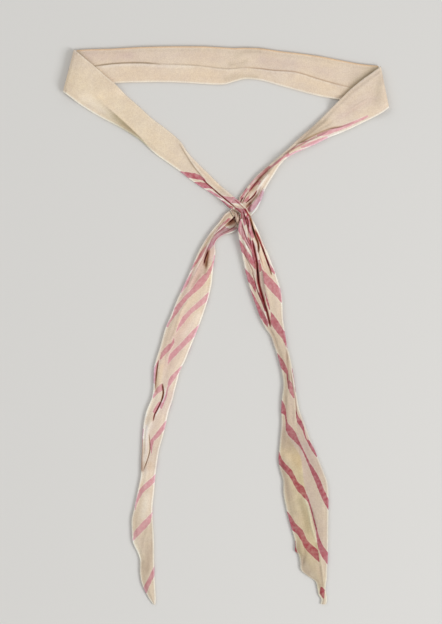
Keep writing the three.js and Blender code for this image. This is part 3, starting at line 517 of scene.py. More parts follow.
UPPER_STRIPES = (
    Stripe(0.75, ((-32.2, 108.1), (-25.2, 107.1), (-19.6, 106), (-15.4, 103.2)),
           ((-29.4, 103.9), (-23.1, 102.9), (-17.5, 101.8), (-13.6, 100.8))),
    Stripe(0.8, ((-23.8, 100.4), (-18.9, 100.6), (-14.7, 99.8), (-11.2, 97.6)),
           ((-21, 96.9), (-16.1, 96), (-11.9, 96.2), (-9.1, 95.5))),
    Stripe(0.55, ((-14.4, 95.1), (-12.2, 94.8), (-9.4, 93.9), (-6.2, 91.8), (-2.4, 89)),
           ((-13.6, 93.9), (-11.6, 92.6), (-9.1, 91.3), (-5.9, 90.1), (-2.4, 88.4))),
    Stripe(0.65, ((-6, 89.2), (-2.8, 87.8), (1.4, 85), (4.9, 82.7)),
           ((-4.2, 86.7), (0, 83.6), (2.1, 81.5), (4.9, 80.1))),
    Stripe(0.3, ((-3.1, 90.9), (0.7, 90.2), (4.9, 89.9), (9.8, 89.2)),
           ((0, 88.5), (2.1, 86.4), (4.9, 85.6), (9.8, 85.8))),
    Stripe(0.35, ((-3.5, 91.1), (1.4, 90.2), (5.6, 89.9), (9.1, 89.2), (11.2, 87.8)),
           ((-2.1, 89.7), (2.1, 86.9), (4.9, 85.8), (8.4, 85.5), (11.2, 85.8))),
    Stripe(0.55, ((5.6, 82.2), (9.1, 82.1), (11.9, 81.7), (14.3, 81)),
           ((6.3, 81.5), (9.1, 79.4), (11.6, 78.3), (13.7, 78.5))),
    Stripe(0.7, ((11.5, 79.4), (13, 77.7), (14.3, 75.2), (15.4, 71.8)),
           ((10.1, 78), (10.9, 75.7), (11.9, 73.1), (12.6, 69.6))),
    Stripe(0.55, ((10.2, 75.9), (11.5, 71), (13, 66.1), (15.5, 61.2), (18.2, 56.8), (19.6, 53.5)),
           ((7.4, 69.6), (9.4, 64.4), (12, 60.2), (15.1, 55.9), (18.9, 51))),
    Stripe(0.65, ((7.4, 62.6), (10.6, 58.7), (13.7, 54.2), (16.8, 49.8), (20.2, 45.6)),
           ((8.1, 55.6), (11.6, 51), (15, 46.4), (18.2, 42.1), (20.7, 39.1))),
    Stripe(0.75, ((9.5, 45.1), (13.7, 40), (17.2, 35.6), (20, 30.7), (21.4, 26.2)),
           ((10.9, 36.8), (14.8, 31.7), (17.9, 27.9), (20.6, 23.4))),
    Stripe(0.75, ((15.4, 27.9), (18.6, 23), (21.4, 18.1), (24.2, 12.9), (27, 8), (29.7, 2.2)),
           ((15.8, 22), (18.9, 15), (22.4, 8.5), (26.3, 2.4), (29, -1))),
    Stripe(0.7, ((22.3, 23.7), (23.8, 19.5), (25.5, 15.7), (27, 10.1)),
           ((23.4, 23.7), (25.1, 19.5), (27, 15.3), (28.4, 9.7))),
    Stripe(0.6, ((13.2, 75.9), (14.6, 70.6), (16.2, 65.5), (17.9, 60.5)),
           ((15, 78), (16.8, 72.4), (18.5, 66.8), (20, 61.9))),
    Stripe(0.6, ((16.9, 59.8), (17.5, 54.2), (18.2, 50), (19.2, 45.1)),
           ((19, 59.8), (19.9, 54.2), (20.3, 50), (21.3, 44.4))),
    Stripe(0.75, ((23.4, 46.1), (24.1, 43.3), (24.8, 40.9), (25.3, 38.8)),
           ((22.1, 46.1), (22.7, 43), (23.1, 39.5), (23.5, 37.4))),
    Stripe(0.65, ((29.1, 46.8), (31.1, 43), (32.9, 40.2), (34.4, 37)),
           ((27.9, 45.8), (29.5, 41.9), (31.5, 38.4), (33.9, 35.6))),
    Stripe(0.5, ((25.2, 39.5), (31, 33.6), (36, 28.3), (38.2, 25.7)),
           ((26.5, 30), (31, 24.6), (35.3, 20.2), (39.1, 15.6))),
    Stripe(0.75, ((27, 24.8), (28.7, 19.9), (30.1, 15), (30.8, 12.2)),
           ((27.4, 22), (28.1, 17.8), (29.3, 13.6), (30.5, 10.8))),
    Stripe(0.7, ((31.2, 10), (35, 5.3), (39.1, -1.2), (41.7, -5.9)),
           ((31.2, 1.3), (35.6, -4.6), (39.1, -9), (42.3, -15.3))),
    Stripe(0.85, ((40.2, -3.8), (41.2, -7.3), (41.9, -11.5), (42.7, -15.7)),
           ((42.4, -3.8), (43, -8), (43.4, -12.2), (44.1, -17.1))),
    Stripe(0.75, ((35.8, -19.1), (39.7, -24), (42.8, -30), (43.5, -34.2)),
           ((37.7, -29), (40.3, -31.6), (42.1, -34.2), (43, -36))),
    Stripe(0.8, ((42.6, -33.2), (43.4, -36.8), (43.8, -40.2), (44.4, -44.2)),
           ((42.1, -33.9), (42.6, -37.4), (43.1, -40.9), (43.5, -44.3))),
    Stripe(0.55, ((44.2, -37.8), (46.1, -40.4), (47, -44.4), (48.1, -50.8)),
           ((43.4, -40.9), (43.7, -43.9), (44.7, -46.8), (47.3, -50.8))),
    Stripe(0.8, ((45.9, -29.7), (46.9, -35.3), (47.9, -40.9), (48.6, -46.5)),
           ((47.5, -29), (48.6, -35.3), (49.3, -40.9), (50, -46.5))),
    Stripe(0.75, ((38.8, -51.4), (41.7, -57.3), (42.3, -63.2), (43.3, -67.9), (47.6, -73.1), (49.8, -77.2),
                  (51, -81.3)),
           ((38.2, -61), (40.8, -62.6), (41.6, -66.4), (42, -72.9), (44.2, -77.2), (49.2, -82.2),
            (52.3, -85.7))),
    Stripe(0.85, ((50.1, -78.5), (53.3, -85), (57.9, -94.4), (60.8, -99), (64.5, -105), (68.9, -115),
                  (72.1, -122.1)),
           ((51.5, -84.8), (54.2, -89.4), (57, -96.2), (59.1, -101.3), (62.6, -109.7), (67.4, -121.4),
            (72.1, -129.8))),
    Stripe(0.8, ((48.6, -58.2), (50.8, -63.5), (52.7, -66.4), (54.5, -71), (56.3, -78.8), (58.5, -80.6),
                 (64, -89.9)),
           ((49, -61.9), (49.8, -67.3), (53.5, -73.1), (54.8, -77.2), (57.3, -82.2), (59.8, -86.9),
            (63.3, -92))),
    Stripe(0.85, ((36.8, -86.4), (38.8, -92.5), (41.4, -96.2), (46.1, -101.3), (50.1, -108.8),
                  (54.5, -113.1), (57.4, -121.4)),
           ((36.1, -95.5), (37.9, -97.9), (41.4, -102.2), (44.5, -105.6), (49.2, -114.4), (52.3, -117.8),
            (56.7, -122.6))),
    Stripe(0.8, ((56.4, -117.2), (59.1, -124.9), (61, -131.9), (63.3, -140.3), (64.4, -145.2)),
           ((55.6, -120), (58.4, -126.3), (60.3, -133.3), (62.3, -141), (63.1, -145.9))),
    Stripe(0.8, ((64.3, -144.9), (66.5, -151.1), (68.7, -155.1), (72.1, -159.9)),
           ((62.9, -145.2), (63.7, -151.1), (64.9, -156.7), (67.4, -162), (71.8, -168.3))),
    Stripe(0.85, ((42, -128.9), (46.5, -134.5), (48.6, -138.2), (53.7, -143.3), (56.5, -149.5),
                  (60.2, -153.3), (64.4, -157)),
           ((44.4, -141.5), (49.6, -145.8), (52.7, -150.4), (54.6, -154.8), (58.7, -159.5), (65.5, -165.8))),
    Stripe(1.0, ((47.3, -150.1), (47.7, -155.8), (49, -160.6)),
           ((48.7, -150.8), (49.1, -155.8), (50.5, -159.5))),
    Stripe(0.95, ((66.2, -182.6), (67.9, -183.3), (69.2, -184.9)),
           ((65.4, -187.2), (67.2, -189.8), (68.6, -191.4))),
)
LOWER_FOLDS = (
    Fold(Crease.RIDGE, 0.45, 1.1, 0, ((100.1, 158.4), (92.6, 154.1), (82.5, 147.3))),
    Fold(Crease.VALLEY, 0.35, 1, 0.1, ((98.7, 156.7), (91.4, 152.5), (81.9, 146.2))),
    Fold(Crease.LEFT, 0.6, 0.9, 0.3, ((89.6, 141.9), (79.8, 138.7), (70.7, 137.3))),
    Fold(Crease.LEFT, 0.8, 0.9, 0.35, ((71.4, 135.7), (64.6, 132.1), (58.7, 129.5), (49.3, 126.9))),
    Fold(Crease.RIDGE, 0.5, 1.4, 0, ((72.8, 144.5), (64.4, 138.2), (56, 131.2), (49.7, 126.1))),
    Fold(Crease.VALLEY, 0.3, 0.7, 0.7, ((67.2, 144.1), (62.3, 139.6), (57.4, 135.2)), ShadingTint.GREY),
    Fold(Crease.VALLEY, 0.3, 0.7, 0.6,
           ((74.9, 142.7), (65.8, 137.5), (58.1, 132.2), (51.8, 128)), ShadingTint.GREY),
    Fold(Crease.VALLEY, 0.3, 0.7, 0.7,
           ((82.6, 139.6), (73.8, 138), (65.1, 134.9), (56, 130.3), (49, 126.3)), ShadingTint.BROWN),
    Fold(Crease.VALLEY, 0.3, 0.6, 0.6, ((56, 128.2), (49, 124.5), (42, 120)), ShadingTint.BROWN),
    Fold(Crease.VALLEY, 0.4, 1.6, 0.1, ((63, 142.7), (56, 135.2), (49.7, 128.4))),
    Fold(Crease.RIDGE, 0.5, 1, 0, ((67.2, 128.7), (56, 124.7), (46.2, 121), (40.6, 117.2))),
    Fold(Crease.SLIT, 0.7, 0.6, 0.5, ((49.7, 126.6), (45.2, 123.3), (39.9, 118.9))),
    Fold(Crease.RIDGE, 0.7, 1, 0, ((42, 120.3), (35, 112.3), (29.1, 105), (24.7, 99.6), (18.3, 88.8))),
    Fold(Crease.VALLEY, 0.7, 1.2, 0.4, ((31.1, 111.6), (27.6, 107.4), (22.3, 102.3), (17.9, 96.2))),
    Fold(Crease.SLIT, 1.5, 0.7, 1, ((21.7, 94.8), (19.6, 91.3), (16.8, 88.5), (13.6, 85.8)), ShadingTint.DEEP),
    Fold(Crease.VALLEY, 0.9, 1, 0.5, ((24.5, 97.9), (21.7, 92), (17.9, 87.1), (13.6, 83.6))),
    Fold(Crease.RIDGE, 0.5, 0.8, 0, ((25.2, 94.8), (22.1, 89.2), (18.6, 85.5))),
    Fold(Crease.SLIT, 1, 0.6, 0.9, ((11.9, 89.9), (10.8, 88), (10, 86))),
    Fold(Crease.SLIT, 0.6, 0.5, 0.4, ((15.7, 93.7), (13.3, 89.9), (11.6, 86))),
    Fold(Crease.VALLEY, 1.2, 1.1, 0.6, ((17.5, 86.7), (15.7, 82.5), (16.4, 79))),
    Fold(Crease.RIDGE, 0.5, 0.8, 0, ((21.4, 84.8), (19.2, 80.8), (17.2, 78))),
    Fold(Crease.RIGHT, 0.9, 0.8, 0.6, ((8, 78.2), (3.7, 74.3), (-0.3, 70.5), (-4.8, 66.2))),
    Fold(Crease.RIGHT, 0.7, 0.8, 0.4, ((-3.1, 67.8), (-8.6, 63.3), (-11.2, 58.4), (-13, 54))),
    Fold(Crease.RIGHT, 0.7, 0.8, 0.3, ((-12, 56.6), (-15.8, 48.4), (-20.2, 40.2), (-22.7, 35.3))),
    Fold(Crease.SLIT, 1.6, 0.9, 1, ((7.4, 77.1), (5.6, 75.4), (3.8, 73.8), (2, 72.4)), ShadingTint.DEEP),
    Fold(Crease.VALLEY, 1.1, 2, 0.65, ((8.8, 74.5), (5.2, 72.7), (1.1, 70.8))),
    Fold(Crease.VALLEY, 0.5, 1.2, 0.3, ((8.4, 70.3), (3.5, 68.7), (-0.7, 67.5))),
    Fold(Crease.SLIT, 1.3, 0.7, 1, ((-12.5, 52.4), (-13.7, 49.3), (-14.7, 46.5), (-15.3, 43.3)), ShadingTint.DEEP),
    Fold(Crease.VALLEY, 0.6, 0.9, 0.6,
           ((-12.3, 50.8), (-13.2, 46.5), (-13.9, 42.3), (-14.1, 39.5)), ShadingTint.BROWN),
    Fold(Crease.RIDGE, 0.4, 1, 0, ((-18.9, 41.6), (-22.4, 34.6), (-26.6, 27.6))),
    Fold(Crease.VALLEY, 0.35, 1, 0.15, ((-18.2, 36.3), (-21.7, 31.1), (-25.2, 25.5))),
    Fold(Crease.RIDGE, 0.6, 1.2, 0,
           ((-25.9, 17.8), (-30.5, 11.5), (-32.9, 5.2), (-35.3, -3.8), (-39.6, -11.5))),
    Fold(Crease.RIDGE, 0.5, 1, 0, ((-37.4, -10.8), (-39.3, -16.4), (-42.2, -24.2))),
    Fold(Crease.VALLEY, 0.4, 1.6, 0, ((-37.8, -20.6), (-40.6, -28.3), (-43.4, -36.8))),
    Fold(Crease.SLIT, 1.1, 0.6, 0.9,
           ((-47.3, -24.1), (-48.4, -31.8), (-49.1, -38.1), (-49.6, -44.4)), ShadingTint.OLIVE),
    Fold(Crease.SLIT, 1.4, 0.8, 1, ((-44.7, -40.2), (-43.9, -46), (-44.4, -50), (-45.7, -53.8)), ShadingTint.OLIVE),
    Fold(Crease.SLIT, 1.4, 0.7, 0.95,
           ((-44.9, -51.9), (-47.7, -57.9), (-50, -62.3), (-51.1, -66.8)), ShadingTint.DEEP),
    Fold(Crease.SLIT, 0.9, 0.55, 0.6,
           ((-54, -75.2), (-53.3, -82.9), (-53.5, -88.3), (-55.6, -95.4), (-58.4, -102.5)), ShadingTint.BROWN),
    Fold(Crease.VALLEY, 0.6, 1, 0.4, ((-58.5, -85), (-59.1, -93.4), (-58.7, -102.5))),
    Fold(Crease.RIDGE, 0.5, 1.4, 0, ((-50.4, -63.3), (-55.3, -73.1), (-56.7, -84.3), (-56.7, -91.3))),
    Fold(Crease.RIDGE, 0.5, 1.4, 0, ((-53.2, -103.9), (-50.4, -113.7), (-52.1, -129.2))),
    Fold(Crease.VALLEY, 0.35, 2, 0, ((-59.5, -119.3), (-60.9, -130.5), (-63.7, -141.8))),
    Fold(Crease.RIDGE, 0.5, 1.6, 0, ((-52.8, -136.1), (-57.1, -151.9), (-59.2, -164.1))),
    Fold(Crease.VALLEY, 0.4, 2, 0.1, ((-51.8, -148.8), (-53.9, -161.3), (-56, -173.9))),
)
LOWER_SHADES = (
    Shade(ShadingTint.GREY, 0.7, 3, ((109.2, 173.2), (106.4, 164.8), (105.7, 157.8))),
    Shade(ShadingTint.LILAC, 0.5, 3.5, ((102.2, 159.2), (91, 153.6), (79.8, 145.2))),
    Shade(ShadingTint.GREY, 0.8, 3.2, ((70, 142.4), (61.6, 135.4), (53.2, 128.4))),
    Shade(ShadingTint.CREAM, 0.6, 1.6, ((72.8, 142.8), (64.4, 138.9), (57.4, 131.9))),
    Shade(ShadingTint.PALE, 0.8, 1.2, ((81.2, 136.1), (74.2, 133.8), (71.4, 132.7))),
    Shade(ShadingTint.PALE, 0.8, 1, ((61.6, 131.5), (54.6, 128.4), (49, 124.9))),
    Shade(ShadingTint.BROWN, 0.6, 1.5, ((29.4, 110.2), (25.9, 106), (22.3, 102.3))),
    Shade(ShadingTint.BROWN, 0.55, 1.4, ((24.5, 103.2), (21.4, 99), (18.6, 94.8))),
    Shade(ShadingTint.GREY, 0.5, 1.6, ((35.7, 114.4), (32.2, 110.2), (28.7, 105.3))),
    Shade(ShadingTint.BRIGHT, 0.9, 1, ((29.1, 105), (25.9, 101.1), (23.1, 96.5))),
    Shade(ShadingTint.BRIGHT, 0.6, 0.8, ((23.1, 95.5), (20.7, 91.3), (16.8, 86.4))),
    Shade(ShadingTint.BROWN, 0.7, 1, ((21.3, 91.3), (17.5, 86.4), (14.4, 83.6))),
    Shade(ShadingTint.BRIGHT, 0.6, 1.2, ((20.7, 88.3), (18.6, 84.8), (17.5, 81.5))),
    Shade(ShadingTint.LILAC, 0.9, 1.4, ((23.1, 86.4), (20.6, 82.9), (18.6, 79.4))),
    Shade(ShadingTint.MAUVE, 1, 2.2, ((25.9, 93.4), (23.5, 87.8), (20.6, 82.9), (18.2, 78.8))),
    Shade(ShadingTint.MAUVE, 1, 2, ((9.1, 68.2), (3.5, 67.5), (-2.1, 65.5), (-7.7, 61.2), (-11.2, 55.6))),
    Shade(ShadingTint.SHADOW, 0.5, 2.6, ((9.1, 68.9), (3.5, 67.1), (-1.4, 65.5))),
    Shade(ShadingTint.BRIGHT, 0.7, 0.6, ((8.8, 70.3), (4.2, 69.4), (0, 68.8))),
    Shade(ShadingTint.GREY, 0.7, 1.6, ((25.2, 94.1), (22.1, 88.8), (18.9, 84.3), (16.8, 81.5))),
    Shade(ShadingTint.WARM, 0.4, 2, ((21.4, 99), (17.1, 94.6), (13, 89.2))),
    Shade(ShadingTint.WARM, 0.6, 2.4, ((4.9, 79.4), (1.8, 76.2), (-2.1, 72))),
    Shade(ShadingTint.PALE, 0.8, 0.6, ((7, 77.3), (2.1, 72.4), (-4.8, 66.2))),
    Shade(ShadingTint.BROWN, 0.8, 2.2, ((8.1, 74.3), (4.9, 72.6), (1.7, 71))),
    Shade(ShadingTint.BRIGHT, 0.5, 1, ((7.7, 71.9), (3.5, 69.9), (0, 68.8))),
    Shade(ShadingTint.YELLOW, 0.6, 1.2, ((-9.4, 64), (-13.6, 57.3), (-17.5, 50.8), (-21.3, 43))),
    Shade(ShadingTint.BRIGHT, 0.6, 0.7, ((-10.5, 58.2), (-14, 51.4), (-19.6, 41.2), (-22.4, 35.3))),
    Shade(ShadingTint.YELLOW, 0.5, 1.4, ((-10.5, 44.4), (-11.2, 37.4), (-12.2, 29))),
    Shade(ShadingTint.LILAC, 0.8, 2.2, ((-9.5, 55.6), (-9.8, 51.4), (-10.8, 45.8))),
    Shade(ShadingTint.ORANGE_SHADE, 0.8, 1.1, ((-12.3, 52.1), (-13.4, 46.5), (-14, 42.3))),
    Shade(ShadingTint.DUSK, 0.4, 1.2, ((-13.4, 44.4), (-14, 40.2), (-14.4, 36.8))),
    Shade(ShadingTint.WINE, 0.5, 1, ((-13.3, 52.8), (-14.7, 47.2), (-15.4, 43))),
    Shade(ShadingTint.LILAC, 0.6, 3, ((-17.5, 40.2), (-22.4, 31.8), (-28, 23.4))),
    Shade(ShadingTint.GREY, 0.8, 3.4, ((7, 68.2), (-1.4, 66.1), (-8.4, 61.2), (-12.6, 54.2))),
    Shade(ShadingTint.CREAM, 0.6, 3, ((-15.4, 29.7), (-19.6, 23.4), (-25.2, 15.7))),
    Shade(ShadingTint.CREAM, 0.6, 1, ((-26.6, 15.7), (-31.5, 8.8), (-33.9, 0.3))),
    Shade(ShadingTint.GREY, 0.35, 4, ((-37.8, 3.8), (-40.6, -5.9), (-43.4, -14.3))),
    Shade(ShadingTint.CREAM, 0.6, 4, ((-21, 9.4), (-25.2, 1), (-29.4, -4.5))),
    Shade(ShadingTint.WARM, 0.6, 1.6, ((-44.8, -28.3), (-46.2, -35.3), (-47.2, -40.9))),
    Shade(ShadingTint.WARM, 0.6, 1.6, ((-47.6, -47.9), (-51.8, -53.5), (-55.3, -60.5))),
    Shade(ShadingTint.BRIGHT, 0.6, 2, ((-48.3, -49.3), (-52.5, -54.9), (-55.7, -61.9))),
    Shade(ShadingTint.LILAC, 0.4, 2, ((-37.8, -46.5), (-39.9, -53.5), (-43.4, -60.5))),
    Shade(ShadingTint.BRIGHT, 0.8, 0.5, ((-42.8, -43.8), (-42.8, -49.3), (-45.1, -54.9), (-49, -62.6))),
    Shade(ShadingTint.LILAC, 0.7, 1.3, ((-55.7, -70.3), (-55.6, -83.6), (-56.6, -94.1))),
    Shade(ShadingTint.BRIGHT, 0.6, 1.3, ((-55.7, -70.3), (-55.6, -83.6), (-56.6, -94.1))),
    Shade(ShadingTint.BROWN, 0.6, 0.9, ((-58.4, -80.1), (-59.1, -91.3), (-58.9, -101.1))),
    Shade(ShadingTint.WARM, 0.6, 2, ((-53.2, -96.9), (-55.3, -105.3), (-58.8, -110.9))),
    Shade(ShadingTint.GREY, 0.4, 2.5, ((-61.6, -127.7), (-63.7, -136.1), (-65.1, -143.1))),
    Shade(ShadingTint.BRIGHT, 0.9, 2.4, ((-64, -150.8), (-62, -156.4), (-60.2, -162))),
    Shade(ShadingTint.WARM, 0.6, 2.4, ((-64, -150.8), (-62, -156.4), (-60.2, -162))),
    Shade(ShadingTint.GREY, 0.4, 7,
           ((-52.5, -136.8), (-55.6, -148.8), (-57.8, -157.8), (-59.5, -166.2)), Crease.LEFT),
    Shade(ShadingTint.BRIGHT, 0.6, 2.2, ((-55.3, -102.5), (-57.4, -109.5))),
    Shade(ShadingTint.BRIGHT, 0.45, 2.4, ((-53.2, -68.9), (-56, -75.2), (-57.4, -80.8))),
    Shade(ShadingTint.BRIGHT, 0.4, 3, ((-20.3, 6.6), (-25.2, -0.3), (-29.4, -5.9))),
    Shade(ShadingTint.BRIGHT, 0.5, 1.2, ((-50, -28.3), (-50.7, -35.3), (-50.8, -42.3))),
    Shade(ShadingTint.BROWN, 0.5, 1, ((-48.3, -32.5), (-49, -39.5), (-48.6, -45.8))),
    Shade(ShadingTint.DARKER, 0.5, 2.2, ((-11.9, 44.4), (-16.1, 38.1), (-19.6, 33.2))),
    Shade(ShadingTint.GREY, 0.5, 3, ((-44.8, -77.3), (-48.3, -88.5), (-50.4, -98.3))),
    Shade(ShadingTint.LILAC, 0.6, 8, ((-33.6, -0.3), (-40.6, -19.2), (-43.8, -30.4), (-43.7, -45.8)), Crease.LEFT),
    Shade(ShadingTint.LILAC, 0.6, 8,
           ((-44.1, -50.8), (-49.7, -62.6), (-53.9, -73.1), (-53.5, -87.1), (-56.7, -96.9)), Crease.LEFT),
    Shade(ShadingTint.BRIGHT, 0.45, 2.6, ((-55.3, -119.3), (-56.7, -127.7), (-58.1, -133.3))),
    Shade(ShadingTint.BLUSH, 0.9, 5, ((-8.4, 59.8), (-14, 50), (-18.2, 40.2), (-22.4, 30.4))),
    Shade(ShadingTint.BLUSH, 0.6, 6, ((-28, 3.8), (-35, -10.1), (-40.6, -24.1))),
    Shade(ShadingTint.GREY, 0.4, 3, ((-52.8, -140.3), (-54.2, -153.6), (-55.3, -168.3))),
    Shade(ShadingTint.GREY, 0.5, 2, ((-56, -171.1), (-57, -180.9), (-56, -189.3))),
)
LOWER_STRIPES = (
    Stripe(0.05, ((99.4, 147.3), (88.2, 142.7), (80.5, 139.6), (72.1, 135.4)),
           ((99.4, 145.9), (88.2, 140.6), (80.5, 137.4), (72.1, 134.8))),
    Stripe(0.1, ((88.2, 142), (80.5, 139.2), (74.9, 137.8), (68.6, 135.7), (63.7, 133.6)),
           ((88.2, 140.2), (80.5, 137), (74.9, 134.9), (69.3, 133.1), (63.7, 132.4))),
    Stripe(0.25, ((63, 132.9), (57.4, 129.8), (51.8, 127), (45.5, 123.5)),
           ((63, 132.2), (57.4, 128.7), (51.8, 125.9), (45.5, 122.6))),
    Stripe(0.05, ((71.4, 132.7), (64.4, 130.5), (58.1, 128.2), (51.8, 125.2)),
           ((70.7, 129.2), (65.1, 127), (58.8, 125.6), (52.5, 124.2))),
    Stripe(0.15, ((58.1, 124.9), (52.5, 123.3), (46.9, 121.4), (42, 118.6)),
           ((57.4, 123.5), (52.5, 121.9), (47.6, 120), (42.7, 117.5))),
    Stripe(0.45, ((44.1, 121.4), (38.5, 117.5), (34.3, 114.2), (29.4, 110.9)),
           ((44.1, 119.3), (39.9, 116.7), (35.4, 113), (30.1, 109.3))),
    Stripe(0.1, ((30.1, 112.3), (24.5, 107), (21, 103.9), (16.1, 99)),
           ((29.1, 107.7), (23.8, 103.9), (20.6, 101.6), (16.8, 97.6))),
    Stripe(0.4, ((24.5, 102.1), (21.4, 100.7), (18.2, 99), (16.1, 96.2)),
           ((23.7, 98.6), (20.7, 97.6), (18.2, 96.2), (16.1, 93.7))),
    Stripe(0.45, ((14.3, 96.2), (11.9, 92.8), (10.1, 89.7)),
           ((16.5, 95.5), (14, 92.3), (11.9, 88.5), (10.4, 86.4))),
    Stripe(0.5, ((16.8, 91.3), (14.7, 89.7), (12.6, 87.6)),
           ((15.7, 88.1), (14, 87.1), (12.2, 85.8))),
    Stripe(0.3, ((26.6, 96.2), (22.8, 91.3), (18.9, 85.8), (15.4, 82.2)),
           ((26.3, 90.6), (23.4, 86.4), (20.3, 82.2), (17.2, 78.8))),
    Stripe(0.5, ((17.9, 85.3), (15.8, 82.9), (13.7, 80.4)),
           ((18.9, 83.4), (17.2, 80.8), (15.8, 78.8))),
    Stripe(0.6, ((1.8, 75.6), (-2.8, 71.4), (-7, 66.1), (-10.8, 59.8)),
           ((3.4, 74.9), (-0.7, 71), (-4.9, 67.2), (-8.4, 64.2))),
    Stripe(0.35, ((7.3, 69.2), (2.8, 68), (-0.7, 67.1), (-2.4, 65.5)),
           ((8.8, 68), (5.6, 66.4), (2.1, 65.5), (-1.4, 64.8))),
    Stripe(0.3, ((-1.4, 70), (-7, 64.4), (-10.5, 59.1), (-13.6, 53.5)),
           ((4.2, 65.8), (-1.4, 63.7), (-6.3, 60.5), (-8.8, 56.3), (-12.6, 52.1))),
    Stripe(0.2, ((-23.1, 38.8), (-28, 31.1), (-31.8, 24.1)),
           ((-23.1, 38.8), (-26.6, 29), (-31.5, 22.8))),
    Stripe(0.4, ((-12.6, 57.7), (-18.2, 50.8), (-21, 45.8), (-24.8, 39.5)),
           ((-12.6, 57.7), (-16.4, 49), (-18.7, 45.8), (-24.8, 38.1))),
    Stripe(0.3, ((-8, 50), (-9.7, 44.1), (-12.2, 39.2), (-14.7, 35.7)),
           ((-7, 48.6), (-9, 42), (-10.2, 37.8), (-13, 32.5))),
    Stripe(0.3, ((-47, -23.4), (-49.7, -28.3), (-51, -33.9), (-51.1, -38.8)),
           ((-47, -25.5), (-48.6, -31.1), (-49.3, -36.8), (-50, -41.6))),
    Stripe(0.3, ((-14.6, 36.5), (-19.6, 31.5), (-23.9, 25.8), (-29.3, 20.5), (-32.7, 15.5)),
           ((-12.1, 33.9), (-15.2, 29.3), (-19.6, 24.9), (-24.3, 21.1), (-27.4, 18.1))),
    Stripe(0.35, ((-29.7, 19.2), (-33.5, 15.5), (-36, 12.2), (-37.5, 7.1)),
           ((-27.1, 18.3), (-30.4, 14.1), (-32.6, 10.6), (-36.1, 6.2))),
    Stripe(0.25, ((-36.8, 8), (-38.8, 5), (-40.5, 2.4), (-41.9, -0.3)),
           ((-36, 6.4), (-37.5, 4.1), (-39.2, 1.5), (-40.7, -1.5))),
    Stripe(0.12, ((-11.6, 24), (-16.1, 19.9), (-19.5, 16.7), (-23.9, 12.9), (-28.6, 8), (-31.1, 4.8),
                  (-33.5, -0.1), (-35.2, -4.8)),
           ((-13.6, 16.8), (-18.1, 13.2), (-23.7, 8.8), (-27.1, 5.1), (-29.7, 1.6), (-32.3, -1.3),
            (-34.6, -4.5))),
    Stripe(0.28, ((-36.7, -8), (-38.1, -12), (-40.9, -13.6), (-45.3, -18.5)),
           ((-36, -11.2), (-38.9, -16.6), (-43, -20.6), (-46.6, -24.8))),
    Stripe(0.15, ((-16.8, 2.4), (-22.5, -2.4), (-27.4, -7.7), (-32.9, -13.5), (-37, -17.6), (-39.6, -20.7),
                  (-40.6, -25.5)),
           ((-20.7, -6.4), (-25.7, -11.2), (-28.8, -14.3), (-32.3, -17.8), (-36.1, -21.9), (-38.7, -24.5),
            (-41, -27.6))),
    Stripe(0.2, ((-30.1, -27.3), (-35.3, -32.1), (-39.3, -36.3), (-40.9, -41)),
           ((-33.2, -33.2), (-36.2, -37.8), (-38.5, -40.9), (-40.2, -43.4))),
    Stripe(0.3, ((-40.6, -41.6), (-41.6, -45.1), (-42.7, -49.3), (-46.5, -57)),
           ((-40.1, -43), (-40.9, -46.5), (-42, -51.1), (-45.1, -58.4))),
    Stripe(0.15, ((-44.8, -40.2), (-47.6, -42.7), (-49.7, -45.8), (-51.4, -49.7)),
           ((-44.1, -45.1), (-45.8, -46.3), (-48.3, -47.9), (-50.8, -51.1))),
    Stripe(0.35, ((-46.6, -52.8), (-48.3, -54.9), (-49.8, -57.4), (-51.4, -60.5)),
           ((-45.1, -53.9), (-46.5, -56.3), (-48.2, -58.8), (-49.7, -61.6))),
    Stripe(0.28, ((-40.2, -64.4), (-43, -67.5), (-47, -72.7), (-52.8, -80.1)),
           ((-41.4, -69.5), (-43.8, -73.6), (-47.9, -78.5), (-53.1, -82.8))),
    Stripe(0.4, ((-58.2, -71), (-59.1, -77.3), (-59.5, -85.8)),
           ((-57.4, -72.4), (-58, -78), (-58.5, -85.8))),
    Stripe(0.45, ((-52.5, -79.2), (-53.2, -82.2), (-52.9, -85.8), (-52.5, -88.5)),
           ((-50.3, -80.1), (-51.2, -83.6), (-51.7, -86.4), (-52.1, -89.6))),
    Stripe(0.2, ((-49, -103.2), (-51.9, -106.3), (-56.3, -110.2), (-60.9, -115.8), (-64, -126.3)),
           ((-49.8, -109.4), (-53.3, -112.6), (-57.7, -116.5), (-61.6, -123.3), (-63.8, -129.8))),
    Stripe(0.1, ((-51.1, -129.8), (-55.3, -134.3), (-59.9, -138.9), (-64.4, -144.3)),
           ((-52.8, -137.5), (-55.6, -141), (-60.2, -145.7), (-65.4, -151.1))),
    Stripe(0.3, ((-48.7, -165.5), (-51.9, -171.7), (-54.9, -177.7), (-58.4, -184.4)),
           ((-49.7, -174.4), (-51.8, -178.4), (-53.6, -182.3), (-56.3, -189.3))),
)


def smoothstep(low: float, high: float, value: np.ndarray) -> np.ndarray:
    """Return a smooth rise from 0 at low to 1 at high."""
    x = np.clip((value - low) / (high - low), 0.0, 1.0)
    return x * x * (3.0 - 2.0 * x)


def bell(value: np.ndarray, middle: float = 0.0, width: float = 1.0) -> np.ndarray:
    """Return a smooth bump of height 1 at its middle, which is down to about a third one width away."""
    return np.exp(-(((value - middle) / width) ** 2))


def tint_factor(amount: np.ndarray, tint_and_shade: ShadingTint) -> np.ndarray:
    """Return what each place's amount of a tint multiplies its colour by."""
    return 1.0 - amount[:, None] * (1.0 - np.array(tint_and_shade.value))


def run_along(rows: np.ndarray) -> np.ndarray:
    """Return how far the middle of each row of sections is along the stretch."""
    centre = (rows[:, 0:2] + rows[:, 2:4]) / 2
    return np.concatenate([[0.0], np.cumsum(np.hypot(*np.diff(centre, axis=0).T))])


